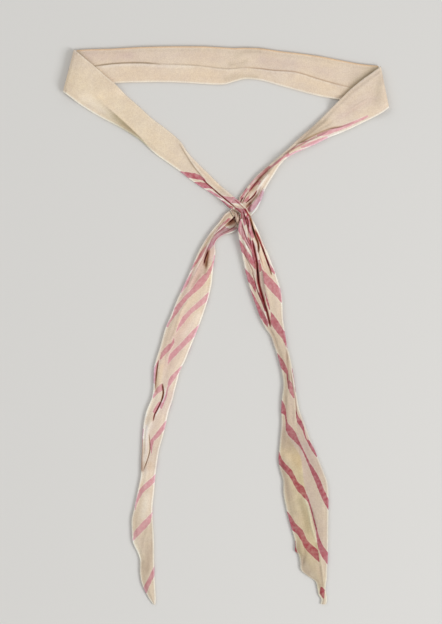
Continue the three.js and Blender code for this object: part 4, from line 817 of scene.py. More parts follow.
def spline(rows: np.ndarray, at: np.ndarray) -> np.ndarray:
    """Return a smooth curve through rows.

    Args:
        rows: The points or table rows, one each.
        at: Where to read the curve, counted in rows.

    Returns:
        One row for each place in at.
    """
    last = len(rows) - 1
    i = np.clip(np.floor(at).astype(int), 0, last - 1)
    x = (at - i)[:, None]
    p, q, r, s = (rows[np.clip(i + k, 0, last)] for k in (-1, 0, 1, 2))
    return (2 * q + (r - p) * x + (2 * p - 5 * q + 4 * r - s) * x**2 + (3 * q - p - 3 * r + s) * x**3) / 2


@dataclass(frozen=True)
class Reach:
    """How far a set of points is from a line: distance, which side, share along it, and the way off it."""

    gap: np.ndarray
    side: np.ndarray
    along: np.ndarray
    off: np.ndarray


def reach(line: tuple[Point, ...], points: np.ndarray, steps: int = LINE_STEPS) -> Reach:
    """Measure points against a smooth line.

    Args:
        line: The line's points in plan.
        points: The places to measure, one each row.
        steps: How many straight steps each span of the line is read in.

    Returns:
        The distances, with side 1 on the left of the line as it is walked and -1 on its right.
    """
    rows = np.array(line, float)
    path = spline(rows, np.linspace(0, len(rows) - 1, steps * (len(rows) - 1) + 1))
    moves = np.diff(path, axis=0)
    runs = np.maximum(np.hypot(*moves.T), LEAST_RUN)
    starts = np.concatenate([[0.0], np.cumsum(runs)])
    gap = np.full(len(points), np.inf)
    side, along, off = np.ones(len(points)), np.zeros(len(points)), np.zeros((len(points), 2))
    for a, step, run, start in zip(path, moves / runs[:, None], runs, starts):
        offset = points - a
        share = np.clip(offset @ step, 0.0, run)
        rest = offset - share[:, None] * step
        distance = np.hypot(*rest.T)
        closer = distance < gap
        gap[closer] = distance[closer]
        side[closer] = np.where(step[0] * offset[:, 1] - step[1] * offset[:, 0] >= 0, 1.0, -1.0)[closer]
        along[closer] = (start + share[closer]) / starts[-1]
        off[closer] = (-step[1], step[0])
    return Reach(gap, side, along, off)


def near_box(lines: tuple[tuple[Point, ...], ...], points: np.ndarray, margin: float) -> np.ndarray:
    """Find the points near some lines.

    Args:
        lines: The lines.
        points: The points in plan.
        margin: How far outside the lines' box a point may be.

    Returns:
        The indices of the points found.
    """
    corners = np.array([p for line in lines for p in line])
    inside = (points > corners.min(axis=0) - margin) & (points < corners.max(axis=0) + margin)
    return np.nonzero(inside.all(axis=1))[0]


def inside_outline(outline: np.ndarray, points: np.ndarray) -> np.ndarray:
    """Find the points inside a closed outline, by counting the edges that each sees to one side.

    Args:
        outline: The outline's corners in order.
        points: The points in plan.

    Returns:
        Whether each point is inside.
    """
    inside = np.zeros(len(points), bool)
    for (ax, ay), (bx, by) in zip(outline, np.roll(outline, -1, axis=0)):
        if ay == by:
            continue
        spans = (ay > points[:, 1]) != (by > points[:, 1])
        inside ^= spans & (points[:, 0] < (bx - ax) * (points[:, 1] - ay) / (by - ay) + ax)
    return inside


def band_edge(x: np.ndarray) -> np.ndarray:
    """Return the neckband's lower edge at places across the cravat."""
    rows = np.array(BAND_SECTIONS, float)
    return np.interp(x, rows[:, 2], rows[:, 3])


def rest_height(x: np.ndarray, y: np.ndarray) -> np.ndarray:
    """Return how high an arm lies: on the neckband, then down to the surface past the band's edge."""
    return REST_HEIGHT * (1 - smoothstep(DRAPE_START, DRAPE_END, band_edge(x) - y))


@dataclass
class Cloth:
    """The folds, tints and stripes of one run of the cloth, which its stretches share.

    A fold's lip is the light edge beside it, a painted highlight, and the dark inside a fold is painted shade. A
    fold's pull is how far a place moves, as a share of its distance to the fold's line. A stripe's halo is how
    far off its edge is still felt. Most of the tints are painted light and shade.
    """

    folds: tuple[Fold, ...]
    shades: tuple[Shade, ...]
    stripes: tuple[Stripe, ...] = ()
    seed: int = 1
    halo: float = 3.0
    end_fade: float = 6.4
    layer_run: float = 4.5
    layer_pull: float = 1.12
    layer_lip: float = 0.9
    slit_pull: float = 0.35
    slit_lip: float = 0.45
    face_softness: float = 0.35
    waves: tuple[float, ...] = (7.0, 11.0, 17.0, 26.0)
    wave_height: float = 0.0022

    def press(self, fold: Fold, at: Reach, fade: np.ndarray) -> tuple[np.ndarray, ...]:
        """Work out what one fold does to the cloth near it.

        Args:
            fold: The fold.
            at: How far the cloth's places are from its line.
            fade: How much of the fold is left there, towards its ends.

        Returns:
            The rise of each place, its pull to the left of the line, and how much painted shade and painted
            highlight it gets.
        """
        signed = at.gap * at.side
        none = np.zeros(len(signed))
        if fold.kind in (Crease.LEFT, Crease.RIGHT):
            towards = 1.0 if fold.kind is Crease.LEFT else -1.0
            up = signed * towards
            t = up / fold.half_width
            high = smoothstep(-1.0, 1.0, t) * bell(np.maximum(up, 0.0), width=self.layer_run)
            pull = -up * self.layer_pull * np.clip(1.0 - t * t, 0.0, None) ** 2 * fade
            lip_highlight = self.layer_lip * bell(t, middle=0.9, width=0.7)
            return fold.rise * fade * high, towards * pull, bell(t, middle=-0.5, width=0.6), lip_highlight
        t = at.gap / (fold.half_width * (0.5 + 0.5 * fade))
        if fold.kind is Crease.SLIT:
            well = np.clip(1.0 - t * t, 0.0, None)
            pull = -signed * self.slit_pull * well * fade
            lip_highlight = self.slit_lip * bell(t, middle=1.5, width=0.45)
            return -fold.rise * fade * well**2, pull, np.sqrt(well), lip_highlight
        if fold.kind is Crease.VALLEY:
            return -fold.rise * fade * bell(t), none, bell(t), none
        return fold.rise * fade * bell(t), none, none, none

    def crease(self, points: np.ndarray, tint_and_shade: np.ndarray) -> tuple[np.ndarray, np.ndarray]:
        """Work out how the folds move the cloth's upper side and paint shade and highlights into its tints.

        Args:
            points: The places on it in plan.
            tint_and_shade: Their tints, into which the folds paint shade inside them and highlights on their
                lips.

        Returns:
            The rise of each place, and its shift in plan.
        """
        rise, shift = np.zeros(len(points)), np.zeros((len(points), 2))
        for fold in self.folds:
            found = near_box((fold.line,), points, BELL_END * self.layer_run)
            if not len(found):
                continue
            at = reach(fold.line, points[found])
            fade = np.sqrt(np.minimum(1.0, self.end_fade * at.along * (1.0 - at.along)))
            up, pull, painted_shade, lip_highlight = self.press(fold, at, fade)
            rise[found] += up
            shift[found] += at.off * pull[:, None]
            # Painted shade inside the fold, and a painted highlight on its lip.
            for amount, tint in ((fold.shade * painted_shade, fold.tint_and_shade), (lip_highlight, ShadingTint.PALE)):
                tint_and_shade[found] *= tint_factor(amount * fade, tint)
        return rise, shift

    def ripple(self, points: np.ndarray) -> np.ndarray:
        """Work out the small unevenness of silk that was folded and pressed by hand.

        Args:
            points: The places in plan.

        Returns:
            The rise of each place.
        """
        made = np.random.default_rng(self.seed)
        total = np.zeros(len(points))
        for wave in self.waves:
            angles, phases = made.uniform(0, math.pi, 2), made.uniform(0, 2 * math.pi, 2)
            for angle, phase in zip(angles, phases):
                run = points[:, 0] * math.cos(angle) + points[:, 1] * math.sin(angle)
                total += np.sin(run * 2 * math.pi / wave + phase) * wave
        return total * self.wave_height

    def tint(self, points: np.ndarray, tint_and_shade: np.ndarray) -> None:
        """Multiply the soft tints, most of them painted light and shade, into each place's tints.

        Args:
            points: The places in plan.
            tint_and_shade: Their tints, which are changed.
        """
        for shade in self.shades:
            found = near_box((shade.line,), points, BELL_END * shade.half_width)
            if not len(found):
                continue
            at = reach(shade.line, points[found], SHADE_STEPS)
            over = bell(at.gap, width=shade.half_width) * shade.strength
            if shade.face:
                towards = 1.0 if shade.face is Crease.LEFT else -1.0
                over *= smoothstep(-self.face_softness, self.face_softness, at.gap * at.side * towards)
            tint_and_shade[found] *= tint_factor(over, shade.tint_and_shade)

    def stripe(self, points: np.ndarray) -> tuple[np.ndarray, np.ndarray]:
        """Measure the points against the stripes.

        Args:
            points: The places in plan.

        Returns:
            How far each is inside a stripe's edge, in millimetres, and that stripe's tone.
        """
        depth, tone = np.full(len(points), -self.halo), np.full(len(points), 0.5)
        for stripe in self.stripes:
            edges = (stripe.upper, stripe.lower)
            found = near_box(edges, points, self.halo)
            if not len(found):
                continue
            gaps = [reach(edge, points[found]).gap for edge in edges]
            places = [np.linspace(0, len(edge) - 1, EDGE_STEPS * len(edge)) for edge in edges]
            upper, lower = (spline(np.array(edge), at) for edge, at in zip(edges, places))
            within = inside_outline(np.concatenate([upper, lower[::-1]]), points[found])
            signed = np.where(within, 1.0, -1.0) * np.minimum(*gaps)
            more = signed > depth[found]
            depth[found[more]] = signed[more]
            tone[found[more]] = stripe.tone
        return depth, tone


class Side(Enum):
    """How a stretch's long edge is made: the count of folded layers that show there."""

    FOLDED = 1
    LAYERED = 2


@dataclass
class Stretch:
    """One stretch of the folded cloth, as a closed skin over its layers.

    Sizes are in millimetres, apart from its flat size and area in metres. The rims are the tints along its
    inner and outer edge: painted highlights, and painted shade where a tint is dark. Darkening is how much
    darker it gets past a share of its run. The two gather values are the least and the share of the fine
    streaks, partly painted shade and highlights, which are strongest at the knot.
    """

    node: str
    sections: tuple[tuple[float, ...], ...]
    cloth: Cloth
    slot: str
    flat: tuple[float, float]
    area: float | None = None
    rests_on: tuple[str, ...] = ()
    inner_side: Side = Side.LAYERED
    outer_side: Side = Side.FOLDED
    # The rims' tints: painted highlights along the edges, and painted shade where a tint is dark.
    rims: tuple[ShadingTint, ShadingTint] = (ShadingTint.BRIGHT, ShadingTint.BRIGHT)
    rim_strength: tuple[float, float] = (1.0, 1.0)
    rim_run: tuple[float, float] = (0.5, 1.4)
    turns: bool = False
    under_stripes: bool = True
    age: float = 0.0
    darkening_run: tuple[float, float] = (0.0, 1.0)
    gather_least: float = 0.0
    gather_share: float = 1.0
    row_step: float = 0.7
    fewest_rows: int = 8
    top_columns: int = 60
    side_columns: int = 7
    base_columns: int = 5
    reach_past: float = 0.16
    tucked_in: float = 0.45
    tucked_flat: float = 0.6
    crowding: float = 0.06
    edge_level: float = 0.72
    edge_radius: float = 1.3
    edge_width_parts: float = 4.5
    edge_height_share: float = 0.75
    crown_run: float = 3.0
    crown_share: float = 0.35
    fold_run: float = 1.3
    least_depth_share: float = 0.3

    def rows(self) -> np.ndarray:
        """Read the sections at every row of the mesh, evenly spaced along the stretch.

        Returns:
            One row of the table's columns for each row of the mesh.
        """
        table = np.array(self.sections, float)
        fine = np.linspace(0, len(table) - 1, SECTION_STEPS * (len(table) - 1) + 1)
        run = run_along(spline(table, fine))
        count = max(self.fewest_rows, math.ceil(run[-1] / self.row_step))
        at = np.interp(np.linspace(0, run[-1], count + 1), run, fine)
        rows = spline(table, at)
        steps = np.clip(np.floor(at).astype(int), 0, len(table) - 2)
        ease = smoothstep(0.0, 1.0, at - steps)
        rows[:, 4] = table[steps, 4] * (1 - ease) + table[steps + 1, 4] * ease
        for end, beside in ((0, 1), (-1, -2)):
            away = (rows[end, :4] - rows[beside, :4]) / self.row_step
            rows[end, :4] += away * self.reach_past
        return rows

    def side(self, layers: int) -> tuple[np.ndarray, np.ndarray]:
        """Lay out one side of the outline, from its foot up.

        Args:
            layers: How many folded layers show there.

        Returns:
            The insets and the levels of its points.
        """
        angle = np.linspace(-math.pi / 2, math.pi / 2, self.side_columns + 2)
        inset, level = 1.0 - np.cos(angle), (1.0 + np.sin(angle)) / 2
        tucks = (self.tucked_in, 0.0)[-layers:]
        insets = np.concatenate([tuck + inset * (1.0 - tuck * self.tucked_flat) for tuck in tucks])
        levels = np.concatenate([(k + level) / layers for k in range(layers)])
        return insets, levels

    def ring(self) -> tuple[np.ndarray, ...]:
        """Lay out one section's closed outline, from the middle of its base round by the outer edge.

        Returns:
            Each point's part, its share of the way across, its inset as a share of the edge's radius, and its
            level as a share of the edge's height.
        """
        base = np.linspace(0.0, 1.0, 2 * self.base_columns + 1)
        base_end, base_start = base[1 : self.base_columns + 1], base[self.base_columns : -1]
        across = np.linspace(0.0, 1.0, self.top_columns + 2)[1:-1]
        eased = across - self.crowding * np.sin(2 * math.pi * across)
        outer_insets, outer_levels = self.side(self.outer_side.value)
        inner_insets, inner_levels = self.side(self.inner_side.value)
        parts = (
            (Part.BASE, base_start, 0.0, 0.0),
            (Part.OUTER, 1.0, outer_insets, outer_levels),
            (Part.TOP, 1.0 - eased, 0.0, 1.0),
            (Part.INNER, 0.0, inner_insets[::-1], inner_levels[::-1]),
            (Part.BASE, base_end, 0.0, 0.0),
        )
        rings = [np.broadcast_arrays(part.value, *values) for part, *values in parts]
        return tuple(np.concatenate(column) for column in zip(*rings))

    def round_corner(
        self, rows: np.ndarray, run: np.ndarray, z: np.ndarray, heights: np.ndarray
    ) -> np.ndarray:
        """Bend the arm's first rows round the end of the neckband.

        Args:
            rows: The rows of the arm.
            run: How far each row is from the fold line.
            z: The heights of its points.
            heights: The same above the arm's foot.

        Returns:
            The heights with the corner in them.
        """
        top = REST_HEIGHT + rows[:, 5]
        x = np.clip(1.0 - run / TURN_RADIUS, 0.0, 1.0)
        bulge = np.sqrt(1.0 - x * x)
        foot = top / 2 * (1.0 - bulge)
        head = top / 2 * (1.0 + bulge)
        bent = foot[:, None] + (head - foot)[:, None] * (heights / rows[:, 5:6])
        return np.where((run < TURN_RADIUS)[:, None], bent, z)

    def shape(self) -> tuple[np.ndarray, dict[str, np.ndarray], tuple[int, int]]:
        """Work out where every point of the skin goes.

        Returns:
            The points in millimetres, the values that the finish reads, and the counts of rows and columns.
        """
        rows = self.rows()
        run = run_along(rows)
        part, share, inset, level = self.ring()
        n, k = len(rows), len(part)
        width = np.hypot(*(rows[:, 2:4] - rows[:, 0:2]).T)[:, None]
        depth = rows[:, 5:6]
        edge_height = depth * self.edge_level
        radius = np.minimum(self.edge_radius, width / self.edge_width_parts)
        radius = np.minimum(radius, edge_height * self.edge_height_share)
        margin = radius / width
        place = margin + (1.0 - 2.0 * margin) * share
        place = np.where(part == Part.OUTER.value, 1.0 - inset * radius / width, place)
        place = np.where(part == Part.INNER.value, inset * radius / width, place)
        plan = rows[:, None, 0:2] + (rows[:, None, 2:4] - rows[:, None, 0:2]) * place[:, :, None]
        edge = np.minimum(place, 1.0 - place) * width
        lift = np.broadcast_to(rows[:, 4:5], (n, k))
        if self.turns:
            lift = np.maximum(lift, rest_height(plan[:, :, 0], plan[:, :, 1]))
        crown = np.minimum(self.crown_run, width * self.crown_share)
        crowned = edge_height + (depth - edge_height) * smoothstep(0.0, 1.0, (edge - radius) / crown)
        heights = np.where(part == Part.TOP.value, crowned, level * edge_height).reshape(-1)

        plan = plan.reshape(-1, 2)
        top = np.broadcast_to(part == Part.TOP.value, (n, k)).reshape(-1)
        is_side = (part == Part.OUTER.value) | (part == Part.INNER.value)
        seen = top | np.broadcast_to(is_side & (level > 0.5), (n, k)).reshape(-1)
        # Each place's tints, mostly painted light and shade, which multiply the silk's colour.
        tint_and_shade = np.ones((n * k, 3))
        # Painted highlights along the rims, and painted shade where a rim's tint is dark.
        rim_shading = (1.0 - smoothstep(*self.rim_run, edge)).reshape(-1)
        outer = (place > 0.5).reshape(-1)
        for on_side, tint, strength in zip((~outer, outer), self.rims, self.rim_strength):
            tint_and_shade *= tint_factor(rim_shading * strength * on_side * seen, tint)
        shown, tops = np.nonzero(seen)[0], np.nonzero(top)[0]
        local = tint_and_shade[shown]
        # Painted shade inside the folds and painted highlights on their lips, then the soft tints, mostly
        # painted light and shade.
        rise, shift = (moved[top[shown]] for moved in self.cloth.crease(plan[shown], local))
        self.cloth.tint(plan[shown], local)
        # Darker towards the tip, past a share of the run.
        darkened = smoothstep(*self.darkening_run, np.repeat(run / run[-1], k)[shown]) * self.age
        tint_and_shade[shown] = local * tint_factor(darkened, ShadingTint.DARKER)

        fade = smoothstep(0.0, self.fold_run, (edge - radius).reshape(-1)[tops])
        least = np.broadcast_to(depth, (n, k)).reshape(-1)[tops] * self.least_depth_share
        folded = heights[tops] + (rise + self.cloth.ripple(plan[tops])) * fade
        heights[tops] = np.maximum(least, folded)
        plan[tops] += shift * fade[:, None]
        z = lift.reshape(-1) + heights
        if self.turns:
            z = self.round_corner(rows, run, z.reshape(n, k), heights.reshape(n, k)).reshape(-1)
        points = np.column_stack([plan + np.array(TABLE_SHIFT), z])

        along, across = np.repeat(run, k), (place * width).reshape(-1)
        stripe, tone = np.full(n * k, -self.cloth.halo), np.full(n * k, 0.5)
        stripe[shown], tone[shown] = self.cloth.stripe(plan[shown])
        if self.under_stripes:
            turn = (along[~seen] + UNDER_SLANT * across[~seen]) % UNDER_PITCH - UNDER_PITCH / 2
            stripe[~seen] = np.maximum(UNDER_HALF_WIDTH - np.abs(turn), -self.cloth.halo)
        gather = 1.0 - smoothstep(*GATHER_REACH, np.hypot(*(plan - np.array(KNOT_MIDDLE)).T))
        gather = np.maximum(gather * self.gather_share, self.gather_least)
        return points, {"stripe": stripe, "tone": tone, "gather": gather, "tint_and_shade": tint_and_shade, "along": along}, (n, k)

    def store(
        self, mesh: bpy.types.Mesh, points: np.ndarray, values: dict[str, np.ndarray], size: tuple[int, int]
    ) -> None:
        """Put the cloth's own map and the values that the finish reads on the mesh.

        Args:
            mesh: The open skin, a grid of points.
            points: The points in millimetres.
            values: The values, one for each point.
            size: The counts of rows and columns.
        """
        n, k = size
        middle = points.reshape(n, k, 3)[n // 2]
        girth = np.concatenate([[0.0], np.cumsum(np.linalg.norm(np.diff(middle, axis=0), axis=1))])
        corner = np.zeros(len(mesh.loops), np.int32)
        mesh.loops.foreach_get("vertex_index", corner)
        places = np.column_stack([girth[corner % k], values["along"][corner]]) * MM
        mesh.uv_layers.new(name="cloth").data.foreach_set("uv", places.astype(np.float32).ravel())
        for name in ("stripe", "tone", "gather"):
            layer = mesh.attributes.new(name, "FLOAT", "POINT")
            layer.data.foreach_set("value", values[name].astype(np.float32))
        layer = mesh.attributes.new("tint_and_shade", "FLOAT_COLOR", "POINT")
        colours = np.column_stack([values["tint_and_shade"], np.ones(len(points))])
        layer.data.foreach_set("color", colours.astype(np.float32).ravel())

    def close(self, mesh: bpy.types.Mesh, size: tuple[int, int]) -> None:
        """Join the skin's seam, fill its two ends and turn its faces outwards.

        Args:
            mesh: The open skin, a grid of points.
            size: The counts of rows and columns.
        """
        n, k = size
        bm = bmesh.new()
        bm.from_mesh(mesh)
        bm.verts.ensure_lookup_table()
        seam = [bm.verts[i * k + j] for i in range(n) for j in (0, k - 1)]
        bmesh.ops.remove_doubles(bm, verts=seam, dist=SEAM_GAP)
        rims = [e for e in bm.edges if e.is_boundary]
        bmesh.ops.holes_fill(bm, edges=rims, sides=0)
        for e in rims:
            e.smooth = False
        bmesh.ops.recalc_face_normals(bm, faces=bm.faces)
        for f in bm.faces:
            f.smooth = True
        bm.to_mesh(mesh)
        bm.free()

    def build(self, silk: bpy.types.Material) -> bpy.types.Object:
        """Make the stretch as one closed mesh.

        Args:
            silk: Its material.

        Returns:
            The piece, dressed.
        """
        points, values, size = self.shape()
        n, k = size
        bm = bmesh.new()
        bmesh.ops.create_grid(bm, x_segments=k - 1, y_segments=n - 1, size=1.0)
        mesh = bpy.data.meshes.new(self.node + "_silk")
        bm.to_mesh(mesh)
        bm.free()
        mesh.vertices.foreach_set("co", (points * MM).astype(np.float32).ravel())
        self.store(mesh, points, values, size)
        self.close(mesh, size)
        mesh.materials.append(silk)
        piece = bpy.data.objects.new(self.node + "_silk", mesh)
        bpy.context.scene.collection.objects.link(piece)
        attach(piece, "root")
        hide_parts(self.node)
        log.info("%s: %d rows of %d points, %d faces", piece.name, n, k, len(mesh.polygons))
        return piece


class Value:
    """A shader socket that Python's own operators work on."""

    def __init__(self, tree: bpy.types.NodeTree, socket: bpy.types.NodeSocket) -> None:
        """Wrap a socket of a node tree."""
        self.tree = tree
        self.socket = socket

    def maths(self, operation: str, *values: "Value | float") -> "Value":
        """Add a Math node.

        Args:
            operation: What it does.
            values: What it does it to.

        Returns:
            Its result.
        """
        node = self.tree.nodes.new("ShaderNodeMath")
        node.operation = operation
        for socket, value in zip(node.inputs, values):
            if isinstance(value, Value):
                self.tree.links.new(value.socket, socket)
            else:
                socket.default_value = value
        return Value(self.tree, node.outputs[0])

    def __add__(self, other: "Value | float") -> "Value":
        """Add."""
        return self.maths("ADD", self, other)

    __radd__ = __add__

    def __sub__(self, other: "Value | float") -> "Value":
        """Subtract."""
        return self.maths("SUBTRACT", self, other)

    def __rsub__(self, other: float) -> "Value":
        """Subtract from a number."""
        return self.maths("SUBTRACT", other, self)

    def __mul__(self, other: "Value | float") -> "Value":
        """Multiply."""
        return self.maths("MULTIPLY", self, other)

    __rmul__ = __mul__


Socket = bpy.types.NodeSocket | Value


@dataclass(frozen=True)
class Nodes:
    """A material's node tree, and the few kinds of node that the silk is made of."""

    tree: bpy.types.NodeTree

    def node(self, kind: str, settings: dict, inputs: dict) -> bpy.types.Node:
        """Add a node to the tree.

        Args:
            kind: The node's type.
            settings: Its own settings, set first.
            inputs: Its sockets' values or links, by name or number.

        Returns:
            The node.
        """
        made = self.tree.nodes.new(kind)
        for name, value in settings.items():
            setattr(made, name, value)
        for name, value in inputs.items():
            self.feed(made.inputs[name], value)
        return made

    def feed(self, socket: bpy.types.NodeSocket, value: Socket | Colour | float) -> None:
        """Link a value to a socket, or set it there.

        Args:
            socket: The socket.
            value: What it gets, which is set if it is a number or a colour.
        """
        if isinstance(value, Value):
            self.tree.links.new(value.socket, socket)
        elif isinstance(value, bpy.types.NodeSocket):
            self.tree.links.new(value, socket)
        else:
            socket.default_value = value

    def mix(
        self, blend: str, factor: Value | float, first: Socket | Colour, second: Socket | Colour
    ) -> Socket:
        """Return two colours mixed.

        Args:
            blend: How they are mixed.
            factor: How much of the second.
            first: The first colour.
            second: The second colour.

        Returns:
            The mixed colour.
        """
        settings = {"data_type": "RGBA", "blend_type": blend, "clamp_factor": True}
        first, second = ((*c, 1.0) if isinstance(c, tuple) else c for c in (first, second))
        return self.node("ShaderNodeMix", settings, {0: factor, 6: first, 7: second}).outputs[2]

    def attribute(self, name: str) -> bpy.types.Node:
        """Return an Attribute node that reads a value of the mesh."""
        return self.node("ShaderNodeAttribute", {"attribute_type": "GEOMETRY", "attribute_name": name}, {})

    def measure(self, name: str) -> Value:
        """Return a number that the mesh holds at each point."""
        return Value(self.tree, self.attribute(name).outputs["Fac"])

    def soft(self, value: Value, low: float, high: float) -> Value:
        """Make a smooth step of a value.

        Args:
            value: The value.
            low: Where the step starts.
            high: Where it ends.

        Returns:
            The step, from 0 to 1.
        """
        inputs = {"Value": value, "From Min": low, "From Max": high}
        made = self.node("ShaderNodeMapRange", {"interpolation_type": "SMOOTHSTEP"}, inputs)
        return Value(self.tree, made.outputs[0])

    def noise(self, where: Socket, scale: Colour, detail: float = 2.0) -> Value:
        """Make a noise whose grain may differ by direction.

        Args:
            where: The places that it is read at.
            scale: How fine it is in each direction.
            detail: How many finer layers it has.

        Returns:
            The noise, around 0.5.
        """
        mapped = self.node("ShaderNodeMapping", {}, {"Vector": where, "Scale": scale}).outputs[0]
        made = self.node("ShaderNodeTexNoise", {}, {"Vector": mapped, "Scale": 1.0, "Detail": detail})
        return Value(self.tree, made.outputs[0])

    def threads(self, where: Socket, direction: str, scale: float) -> Value:
        """Make the rise and fall of the threads that run one way.

        Args:
            where: The places that it is read at.
            direction: The way across the threads.
            scale: How fine they are.

        Returns:
            The height, from 0 to 1.
        """
        settings = {"wave_type": "BANDS", "bands_direction": direction}
        inputs = {"Vector": where, "Scale": scale, "Distortion": 0.6, "Detail": 1.0}
        return Value(self.tree, self.node("ShaderNodeTexWave", settings, inputs).outputs["Fac"])

    def specks(self, where: Socket, scale: float, sizes: Point, rarity: Point) -> Value:
        """Make a mask of rare round specks.

        Args:
            where: The places that it is read at.
            scale: How many cells fit a metre.
            sizes: Where a speck's soft edge starts and ends, as a share of a cell.
            rarity: The span of chance over which a cell gets a speck.

        Returns:
            The mask, which is 1 in a speck.
        """
        inputs = {"Vector": where, "Scale": scale, "Randomness": 1.0}
        cells = self.node("ShaderNodeTexVoronoi", {"feature": "F1"}, inputs)
        chance = self.node("ShaderNodeSeparateColor", {}, {0: cells.outputs["Color"]}).outputs[0]
        rare = self.soft(Value(self.tree, chance), *rarity)
        return (1.0 - self.soft(Value(self.tree, cells.outputs["Distance"]), *sizes)) * rare


@dataclass(frozen=True)
class Patch:
    """A soft uneven tint: its noise's scale and detail, the span that counts, its strength and colour."""

    scale: Colour
    detail: float
    span: Point
    strength: float
    tint: Colour


@dataclass(frozen=True)
class Silk:
    """The finish of the striped silk: its dyes, its unevenness, its weave and its sheen, with the mesh's tints
    multiplied in, which are mostly painted light and shade.
    """

    cream: Colour = (0.865, 0.735, 0.585)
    dusty_pink: Colour = (0.800, 0.440, 0.460)
    deep_rose: Colour = (0.457, 0.054, 0.090)
    faded_pink: Colour = (0.820, 0.600, 0.570)
    halo_tint: Colour = (0.96, 0.92, 0.85)
    blush: Colour = (0.92, 0.76, 0.74)
    # Painted shade and painted highlight for the streaks of gathered cloth.
    strand_shade: Colour = (0.60, 0.30, 0.30)
    strand_highlight: Colour = (0.50, 0.45, 0.45)
    between_threads: Colour = (0.86, 0.85, 0.84)
    speck: Colour = (0.45, 0.30, 0.16)
    patches: tuple[Patch, ...] = (
        Patch((38.0, 38.0, 38.0), 3.0, (0.3, 0.7), 0.5, (1.0, 0.955, 0.885)),
        Patch((24.0, 31.0, 24.0), 2.0, (0.45, 0.75), 0.6, (0.91, 0.90, 0.96)),
        Patch((130.0, 130.0, 130.0), 3.0, (0.35, 0.65), 0.6, (0.93, 0.915, 0.92)),
        Patch((310.0, 310.0, 310.0), 3.0, (0.38, 0.62), 0.6, (0.965, 0.965, 1.0)),
    )
    fleck: Patch = Patch((1150.0, 1150.0, 1150.0), 2.0, (0.38, 0.62), 0.8, (0.90, 0.88, 0.87))
    streak_scale: Colour = (2600.0, 240.0, 1.0)
    slub_scale: Colour = (300.0, 2400.0, 1.0)
    mottle_scale: Colour = (420.0, 420.0, 420.0)
    strand_scale: Colour = (720.0, 38.0, 1.0)
    strand_span: Point = (0.05, 0.14)
    speck_scale: float = 52.0
    speck_sizes: Point = (0.012, 0.022)
    speck_rarity: Point = (0.86, 0.88)
    edge_softness: float = 0.22
    halo_span: Point = (-0.6, -0.25)
    roughness: float = 0.55
    sheen: float = 0.05
    sheen_tint: Colour = (1.0, 0.80, 0.70)
    sheen_roughness: float = 0.45
    specular: float = 0.16
    thread_pitch: float = 0.00042
    bump_height: float = 0.00006

    def material(self) -> bpy.types.Material:
        """Make the silk's material.

        Returns:
            The material, which reads the stripe, tone, gather and tint_and_shade values and the cloth's own map.
            The tint_and_shade values are mostly painted light and shade.
        """
        made = bpy.data.materials.new("cravat_silk")
        made.use_nodes = True
        made.node_tree.nodes.clear()
        nodes = Nodes(made.node_tree)
        shader = nodes.node("ShaderNodeBsdfPrincipled", {}, {})
        nodes.node("ShaderNodeOutputMaterial", {}, {0: shader.outputs[0]})
        cloth = nodes.node("ShaderNodeUVMap", {"uv_map": "cloth"}, {}).outputs[0]
        place = nodes.node("ShaderNodeTexCoord", {}, {}).outputs["Object"]
        mottle = nodes.noise(place, self.mottle_scale, 4.0)
        streak = nodes.noise(cloth, self.streak_scale)
        slub = nodes.noise(cloth, self.slub_scale)
        grain = (streak - 0.5) * 0.5 + (slub - 0.5) * 0.5
        strands = (nodes.noise(cloth, self.strand_scale, 3.0) - 0.5) * nodes.measure("gather")

        stripe = nodes.measure("stripe")
        wander = (mottle - 0.5) * 0.6 + strands * 2.2
        inside = nodes.soft(stripe + wander, -self.edge_softness, self.edge_softness)
        # A stripe's tone is partly its own colour and partly painted sheen and shade.
        tone = nodes.measure("tone") + (mottle - 0.5) * 0.4 + strands * 1.4
        pink = nodes.mix("MIX", tone, self.dusty_pink, self.deep_rose)
        patchy = nodes.soft(mottle + grain * 0.6, 0.25, 0.75)
        pink = nodes.mix("MIX", (1.0 - patchy) * 0.28, pink, self.faded_pink)
        halo = nodes.soft(stripe, *self.halo_span) * (1.0 - inside)
        cream = nodes.mix("MIX", halo * 0.3, self.cream, self.halo_tint)
        for patch in self.patches:
            cream = self.tinted(nodes, patch, place, cream)
        cream = nodes.mix("MULTIPLY", nodes.soft(strands, 0.0, 0.3), cream, self.blush)
        colour = nodes.mix("MIX", inside, cream, pink)
        # Painted shade and painted highlights along the streaks, for the fine pleats of the gathered cloth that
        # the mesh doesn't have.
        painted_shade = nodes.soft(strands, *self.strand_span)
        colour = nodes.mix("MULTIPLY", painted_shade * 0.9, colour, self.strand_shade)
        painted_highlight = nodes.soft(0.0 - strands, *self.strand_span)
        colour = nodes.mix("SCREEN", painted_highlight * 0.6, colour, self.strand_highlight)
        threads = nodes.soft(grain + 0.5, 0.3, 0.7)
        colour = nodes.mix("MULTIPLY", (1.0 - threads) * 0.55, colour, self.between_threads)
        colour = self.tinted(nodes, self.fleck, place, colour)
        specks = nodes.specks(place, self.speck_scale, self.speck_sizes, self.speck_rarity)
        colour = nodes.mix("MIX", specks * 0.7, colour, self.speck)
        # The mesh's tints are mostly painted light and shade: painted shade in folds, slits and on faces turned
        # from the light, painted highlights on rims, lips and ridges.
        tint_and_shade = nodes.attribute("tint_and_shade").outputs["Color"]
        nodes.feed(shader.inputs["Base Color"], nodes.mix("MULTIPLY", 1.0, colour, tint_and_shade))

